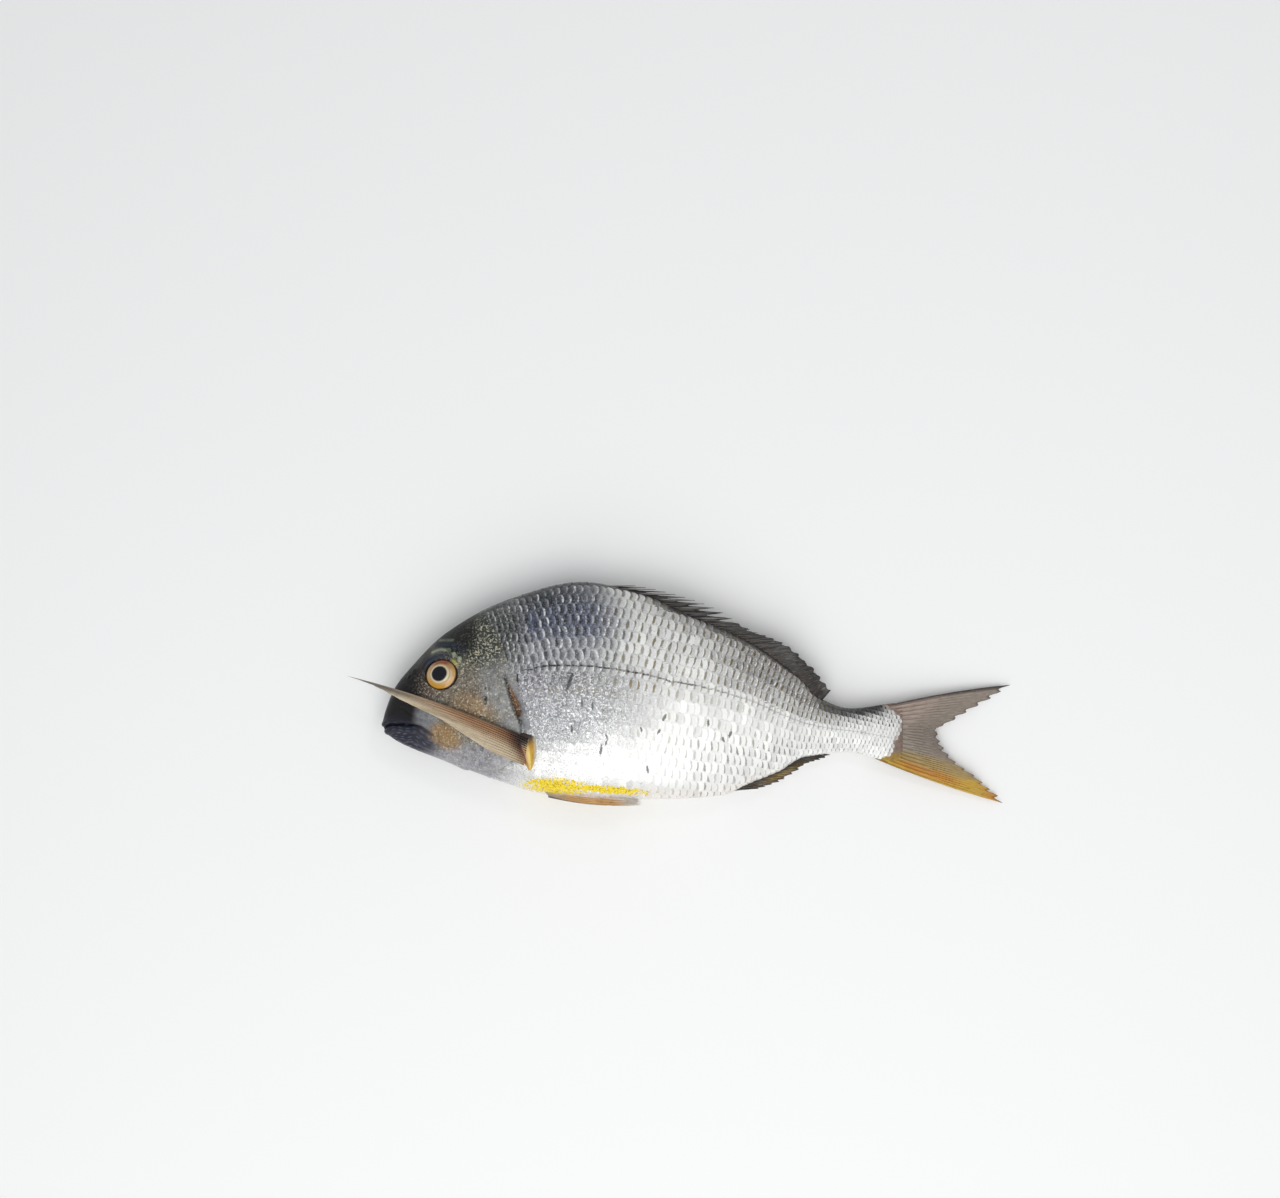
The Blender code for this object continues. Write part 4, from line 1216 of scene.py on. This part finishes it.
TAIL_RAYS = 18
TAIL_ROOT_ALONG = 0.965
TAIL_ROOT_UPS = 0.118, -0.118
TAIL_TIP_UPS = 0.224, TAIL_LOWEST_UP
TAIL_BOW = 0.012
tail_edge = spline(
    [(TAIL_LOWEST_UP, 1.223), (-0.3, 1.215), (-0.264, 1.197), (-0.21, 1.172), (-0.157, 1.139),
     (-0.12, 1.121), (-0.066, 1.103), (-0.019, 1.094), (0.017, 1.093), (0.042, 1.113), (0.114, 1.164),
     (0.174, 1.21), (0.224, TAIL_TIP_ALONG)]
)
TAIL_GREY, TAIL_PINK, TAIL_DARK = colour(150, 138, 126), colour(178, 156, 144), colour(98, 86, 76)
TAIL_OLIVE, TAIL_YELLOW, TAIL_ORANGE, BLACK = (
    colour(168, 142, 82), colour(206, 166, 52), colour(194, 118, 26), colour(20, 18, 18)
)


def tail_tip(share):
    """Where a ray ends on the forked edge."""
    up = mix(*TAIL_TIP_UPS, share)
    return tail_edge(up), up


tail_paint = painted(
    TAIL_GREY,
    (TAIL_PINK, lambda s, r, _: 0.7 * ramp(0.5, 0.2, s) * ramp(0.8, 0.2, r)),
    (TAIL_DARK, lambda s, r, _: 0.6 * ridge(s - 0.45, 0.22) * ramp(0.3, 0.9, r)),
    (TAIL_OLIVE, lambda s, r, _: 0.9 * ramp(0.6, 0.74, s)),
    (TAIL_YELLOW, lambda s, r, _: ramp(0.78, 0.94, s) + ramp(0.7, 0.95, r) * ramp(0.8, 0.9, s)),
    (TAIL_ORANGE, lambda s, r, _: 0.75 * ridge(s - 0.9, 0.07) * ramp(0.1, 0.3, r) * ramp(0.85, 0.55, r)),
    (TAIL_ORANGE, lambda s, r, _: 0.6 * ramp(0.85, 0.95, r) * ramp(0.85, 0.95, s)),
    (BLACK, lambda s, r, _: 0.9 * (ramp(0.05, 0.01, s) + 0.7 * ramp(0.97, 1.0, s) * ramp(0.5, 0.2, r))),
    (BLACK, lambda s, r, _: 0.6 * ramp(0.965, 1.0, r)),
    (BLACK, lambda s, r, ray: 0.2 * (1 - ray)),
)
tail = fan(
    lambda share: (TAIL_ROOT_ALONG, mix(*TAIL_ROOT_UPS, share)), tail_tip,
    lambda along, *_: middle(along), lambda share: TAIL_BOW * (1 - 2 * share),
)
add_fin("tail_membrane", tail, TAIL_RAYS, tail_paint, 1.6, 0.35, torn=0.02, seed=3)

DORSAL_SPINES, DORSAL_RAYS = 11, 24  # the rays count the spines
DORSAL_ALONGS = 0.385, 0.856
dorsal_reach = spline(
    [(0.385, 0.107), (0.483, 0.102), (0.61, 0.088), (0.722, 0.066), (0.795, 0.049), (0.856, 0.021)]
)
dorsal_edge = spline(
    [(0.4, 0.7095), (0.49, 0.69), (0.585, 0.638), (0.644, 0.588), (0.697, 0.515), (0.725, 0.478),
     (0.758, 0.452), (0.79, 0.416), (0.815, 0.37), (0.844, 0.306), (0.863, 0.245), (0.876, 0.204)]
)
DORSAL_BLACK, DORSAL_BROWN, DORSAL_GREY = colour(10, 9, 9), colour(46, 38, 33), colour(50, 48, 46)


def folded(alongs, root_up, reach_back, edge_up):
    """Rays that lean back along the ridge or the keel, from under the skin to the fin's edge."""

    def root(share):
        along = mix(*alongs, share)
        return along, root_up(along)

    def tip(share):
        along = mix(*alongs, share)
        along = along + reach_back(along)
        return along, edge_up(along)

    return fan(root, tip, lambda along, *_: middle(along))


def spiny(share):
    """One where the dorsal fin's rays are spines, in front, and nought behind."""
    return ramp(0.49, 0.44, share)


dorsal_paint = painted(
    DORSAL_BROWN,
    (DORSAL_GREY, lambda s, r, _: 0.9 * ramp(0.35, 0.6, r)),
    (DORSAL_BLACK, lambda s, r, _: 0.9 * ramp(0.6, 0.42, s) + 0.8 * ramp(0.85, 1.0, r)),
    (BLACK, lambda s, r, ray: 0.8 * (1 - ray)),
)
dorsal = folded(DORSAL_ALONGS, lambda along: back_share(along) - 0.02, dorsal_reach, dorsal_edge)
add_fin("dorsal_membrane", dorsal, DORSAL_RAYS, dorsal_paint, 1.0, 0.3, forks=(0.6,), torn=0.06,
        notch=lambda share: 0.1 + 0.3 * spiny(share), fine=(12, 36), seed=5)

ANAL_SPINES, ANAL_RAYS = 3, 13  # the rays count the spines
ANAL_ALONGS = 0.672, 0.838
anal_reach = spline([(0.672, 0.062), (0.75, 0.058), (0.838, 0.038)])
anal_edge = spline(
    [(0.69, -0.274), (0.745, -0.243), (0.786, -0.206), (0.807, -0.173), (0.832, -0.134), (0.865, -0.113),
     (0.876, -0.096)]
)
ANAL_DARK, ANAL_GOLD = colour(34, 29, 22), colour(176, 142, 54)
anal_paint = painted(
    ANAL_DARK,
    (ANAL_GOLD, lambda s, r, ray: 0.8 * ridge(s - 0.42, 0.22) * ridge(r - 0.7, 0.25) * (0.3 + 0.7 * ray)),
    (BLACK, lambda s, r, ray: 0.4 * (1 - ray)),
)
anal = folded(ANAL_ALONGS, lambda along: belly_share(along) + 0.016, anal_reach, anal_edge)
add_fin("anal_membrane", anal, ANAL_RAYS, anal_paint, 1.0, 0.3, forks=(0.55,),
        notch=lambda share: 0.12, fine=(12, 36), seed=7)

PELVIC_RAYS = 6
PELVIC_ROOTS = (0.324, -0.276), (0.318, -0.256)
PELVIC_TIPS = (0.507, -0.3165), (0.505, -0.289)
PELVIC_OFFSET = 4.2 * MM
PELVIC_BROWN, PELVIC_BEIGE = colour(214, 170, 112), colour(226, 218, 208)
pelvic_paint = painted(
    PELVIC_BROWN,
    (PELVIC_BEIGE, lambda s, r, _: ramp(0.7, 0.95, r) + 0.8 * ramp(0.3, 0.0, r) + 0.7 * ramp(0.5, 0.9, s)),
    (BLACK, lambda s, r, ray: 0.12 * (1 - ray)),
)


def between_places(ends):
    """Places in a row from one end to the other."""
    return lambda share: tuple(mix(a, b, share) for a, b in zip(*ends))


def pelvic(side):
    return fan(between_places(PELVIC_ROOTS), between_places(PELVIC_TIPS),
               lambda along, *_: middle(along) + side * PELVIC_OFFSET, lambda share: -0.019 * (1 - share))


for label, side in SIDES:
    add_fin(f"{label}_pelvic_membrane", pelvic(side), PELVIC_RAYS, pelvic_paint, 1.3, 0.35, fine=(16, 50),
            seed=9 + side)

PECTORAL_RAYS = 14
PECTORAL_ROOT_ALONG = 0.289
PECTORAL_ROOT_UPS = 0.002, -0.122
pectoral_edge = spline(
    [(FIN_TIP_ALONG, 0.275), (-0.012, 0.231), (0.043, 0.166), (0.117, 0.087), (0.158, 0.027),
     (0.226, -0.07), (0.278, -0.124)]
)
pectoral_lift = spline(
    [(FIN_TIP_ALONG, 20.5), (0.04, 25.6), (0.1, 28.8), (0.17, 31.4), (0.23, 33.0), (0.29, 33.4)]
)
FOLDED_BACK_TIP = 0.645, -0.03
PECTORAL_BEIGE, PECTORAL_BROWN = colour(206, 190, 162), colour(172, 124, 82)
PECTORAL_GREY, PECTORAL_ROOT_BROWN = colour(104, 102, 98), colour(96, 56, 36)


def left_pectoral_tip(share):
    """Where a ray of the fin that is flipped forward over the head ends."""
    along = mix(FIN_TIP_ALONG, 0.226, share**0.85)
    return along, pectoral_edge(along)


def right_pectoral_height(along, up, share, reach):
    """Just under the flank that the fish lies on, and over the slab."""
    level = level_share(along)
    upper = up > level
    out = np.sqrt(np.maximum(1 - ((up - level) / (edge_share(along, upper) - level)) ** 2, 0))
    return np.maximum(middle(along) - half_width(along, upper, out) - 0.3 * MM, 0.75 * MM)


left_pectoral = fan(
    lambda share: (PECTORAL_ROOT_ALONG - 0.008 * share, mix(*PECTORAL_ROOT_UPS, share)), left_pectoral_tip,
    lambda along, *_: pectoral_lift(along) * MM, lambda share: 0.022 * (1 - share),
)
right_pectoral = fan(
    lambda share: (PECTORAL_ROOT_ALONG, mix(*PECTORAL_ROOT_UPS, share)),
    lambda share: (mix(FOLDED_BACK_TIP[0], 0.4, share**0.7), mix(FOLDED_BACK_TIP[1], -0.17, share)),
    right_pectoral_height,
)
pectoral_paint = painted(
    PECTORAL_BEIGE,
    (PECTORAL_BROWN, lambda s, r, _: 0.85 * ramp(0.72, 0.2, s) * ramp(0.0, 0.1, s) * ramp(0.85, 0.4, r)),
    (PECTORAL_BROWN, lambda s, r, _: 0.6 * ramp(0.2, 0.0, r)),
    (PECTORAL_GREY, lambda s, r, _: 0.85 * ramp(0.6, 0.9, r) * ramp(0.3, 0.1, s)),
    (PECTORAL_ROOT_BROWN, lambda s, r, ray: (1 - ray) * (0.15 + 0.4 * ramp(0.6, 0.2, s)) * ramp(1.0, 0.7, r)),
    (PECTORAL_ROOT_BROWN, lambda s, r, _: 0.9 * ramp(0.26, 0.03, r) * ramp(1.0, 0.4, s)),
    (BLACK, lambda s, r, _: 0.75 * ramp(0.05, 0.01, s) * ramp(0.7, 0.3, r)),
    (BLACK, lambda s, r, _: 0.95 * ramp(0.16, 0.03, r) * ramp(0.7, 0.25, s)),
)
for label, fin in (("left", left_pectoral), ("right", right_pectoral)):
    add_fin(f"{label}_pectoral_membrane", fin, PECTORAL_RAYS, pectoral_paint, 2.2, 0.4, relief=0.18,
            forks=(0.6,), torn=0.005, notch=lambda share: 0.008, fine=(14, 70), seed=13)

# ------------------------------------------------------------------------- fleshy roots of the pectoral fins
# A firm golden lobe of muscle under wet skin joins each pectoral fin to the shoulder. It is purple-black
# where the fin folds over it, red-brown next to the rays, and has a pale rim.

LOBE_HALF = 7.4 * MM  # of its height
LOBE_PROUD = 1.0 * MM  # over the skin, on the flank that faces up
LOBE_LIFT = 2.7 * MM  # least height over the slab, on the other flank
LOBE_RINGS = LOBE_ROUND = 40
LOBE_PLACE = PECTORAL_ROOT_ALONG - 0.006, sum(PECTORAL_ROOT_UPS) / 2
lobe_front = spline([(0, -2.2), (0.1, -5.4), (0.35, -4.6), (0.7, -1.8), (0.9, 0.4), (1, 1.3)])  # mm
lobe_rear = spline([(0, 0.4), (0.1, 3.6), (0.35, 4.3), (0.7, 3.9), (0.92, 2.9), (1, 2.0)])  # mm
lobe_thick = spline([(0, 0.3), (0.12, 2.0), (0.4, 2.6), (0.75, 2.0), (0.93, 1.0), (1, 0.25)])  # mm, half
LOBE_GOLD, LOBE_BRIGHT, LOBE_CREAM = colour(196, 150, 44), colour(224, 190, 70), colour(222, 206, 178)
LOBE_PURPLE, LOBE_RED, LOBE_GRAIN = colour(34, 20, 26), colour(132, 66, 34), colour(96, 60, 26)

lobe_finish = Finish("fin_lobe", Coat_Weight=0.8, Coat_Roughness=0.12)
grain = lobe_finish.noise(1.2 * MM, 4, 0.65)
lobe_finish.put(
    Base_Color=blend(0.4 * between(0.45, 0.75, grain), lobe_finish.read_colour("tint"), LOBE_GRAIN),
    Roughness=0.3 + 0.15 * grain,
    Normal=lobe_finish.bump(grain, 0.12 * MM, 0.7),
)

for label, side in SIDES:
    turns = np.arange(LOBE_ROUND) * 2 * np.pi / LOBE_ROUND
    down, around = np.meshgrid(np.linspace(0, 1, LOBE_RINGS), turns, indexing="ij")
    across = 0.5 + 0.5 * np.cos(around)
    folds = 1 + 0.06 * np.sin(across * 21) * ramp(0, 0.3, down) * ramp(1, 0.7, down)
    back = mix(lobe_front(down), lobe_rear(down), across)
    out = lobe_thick(down) * np.sin(around) * folds
    base = skin_at(np.array(LOBE_PLACE[0]), angle_at(*np.array(LOBE_PLACE), side))
    base[2] = base[2] + LOBE_PROUD if side > 0 else max(base[2], LOBE_LIFT)
    grid = np.stack([side * back, LOBE_HALF / MM * (1 - 2 * down), out], -1) * MM + base
    grid[..., 2] = np.maximum(grid[..., 2], 0)
    tint = plain(LOBE_GOLD, down)
    for paint, cover in (
        (LOBE_BRIGHT, ridge(across - 0.62, 0.16) * ramp(0.3, 0.6, down)),
        (LOBE_RED, ramp(0.6, 0.28, across) * ramp(0.95, 0.65, down)),
        (LOBE_PURPLE, 0.95 * ramp(0.52, 0.26, down + 0.3 * across - 0.1)),
        (LOBE_CREAM, 0.9 * ramp(0.86, 0.97, across) * ramp(0.05, 0.2, down)),
    ):
        lay(tint, paint, cover)
    if side > 0:
        grid, tint = grid[:, ::-1], tint[:, ::-1]
    lobe_mesh = closed_tube(f"{label}_fin_lobe", grid)
    set_attribute(lobe_mesh, "tint", "FLOAT_COLOR",
                  np.concatenate([tint.reshape(-1, 3), [LOBE_PURPLE, LOBE_GOLD]]))
    add_piece(f"{label}_fin_lobe", lobe_mesh, lobe_finish.material)

# ------------------------------------------------------------------------------------------------ spines
# Stiff bony spines stand in the front of the dorsal, anal and pelvic fins. Each tapers to a sharp tip, and
# those of the dorsal fin lie back turn about to the left and right of the ridge.

SPINE_LEAN = 0.49 * MM  # of a dorsal spine's tip to the left or right
SPINE_STEPS = 16
SPINE_LEAST = 0.7 * MM  # height of a spine's middle over the slab
SPINE_ROOT, SPINE_TIP = 0.62 * MM, 0.1 * MM  # radius
SPINE_DARK, SPINE_GREY = colour(34, 31, 31), colour(170, 164, 158)


def spine_lines():
    """The middle line of every spine as a run of points, with their radii and colours."""
    runs = []
    reach = np.linspace(0, 1, SPINE_STEPS)
    for i in range(DORSAL_SPINES):
        spot = dorsal(np.full(SPINE_STEPS, i / (DORSAL_RAYS - 1)), reach * 1.01)
        spot[:, 2] += SPINE_LEAN * (-1) ** i * reach
        runs.append((spot, 1.0))
    for i in range(ANAL_SPINES):
        runs.append((anal(np.full(SPINE_STEPS, i / (ANAL_RAYS - 1)), reach * (0.7 + 0.1 * i)), 0.85))
    for _, side in SIDES:
        runs.append((pelvic(side)(np.zeros(SPINE_STEPS), reach * 0.62), 0.9))
    return runs, reach


def tubes(graph, sockets):
    """A round tube along each run of edges, as thick as its points say."""
    curve = graph.node("GeometryNodeMeshToCurve", None, {"Mesh": sockets["Geometry"]})
    ring = graph.node("GeometryNodeCurvePrimitiveCircle", {"mode": "RADIUS"},
                      {"Resolution": sockets["Sides"], "Radius": 1.0})
    made = graph.node(
        "GeometryNodeCurveToMesh", None,
        {"Curve": curve, "Profile Curve": ring, "Scale": named(graph, "radius", "FLOAT"), "Fill Caps": True},
    )
    return graph.node("GeometryNodeSetShadeSmooth", None, {"Geometry": made})


runs, reach = spine_lines()
spots = np.concatenate([spot for spot, _ in runs])
spots[:, 2] = np.maximum(spots[:, 2], SPINE_LEAST)
edges = [(k + i, k + i + 1) for k in range(0, len(spots), SPINE_STEPS) for i in range(SPINE_STEPS - 1)]
lines_mesh = bpy.data.meshes.new("spine_lines")
lines_mesh.from_pydata(spots.tolist(), edges, [])
radius = np.concatenate([stout * mix(SPINE_ROOT, SPINE_TIP, reach**0.8) for _, stout in runs])
set_attribute(lines_mesh, "radius", "FLOAT", radius)
spine_tint = mix(SPINE_DARK, SPINE_GREY, 0.6 * np.tile(ridge(reach - 0.6, 0.3), len(runs))[:, None])
set_attribute(lines_mesh, "tint", "FLOAT_COLOR", spine_tint)
spine_finish = Finish("spine", Coat_Weight=0.3, Coat_Roughness=0.2)
grain = spine_finish.noise(0.7 * MM, 4, 0.7)
spine_finish.put(
    Base_Color=blend(0.5 * grain, spine_finish.read_colour("tint"), BLACK),
    Roughness=0.3 + 0.2 * grain,
    Normal=spine_finish.bump(grain, 0.05 * MM, 0.6),
)
spines_mesh = modelled_by("spines", lines_mesh, {"Sides": 10, "Finish": spine_finish.material}, tubes)
add_piece("spines", spines_mesh, None)
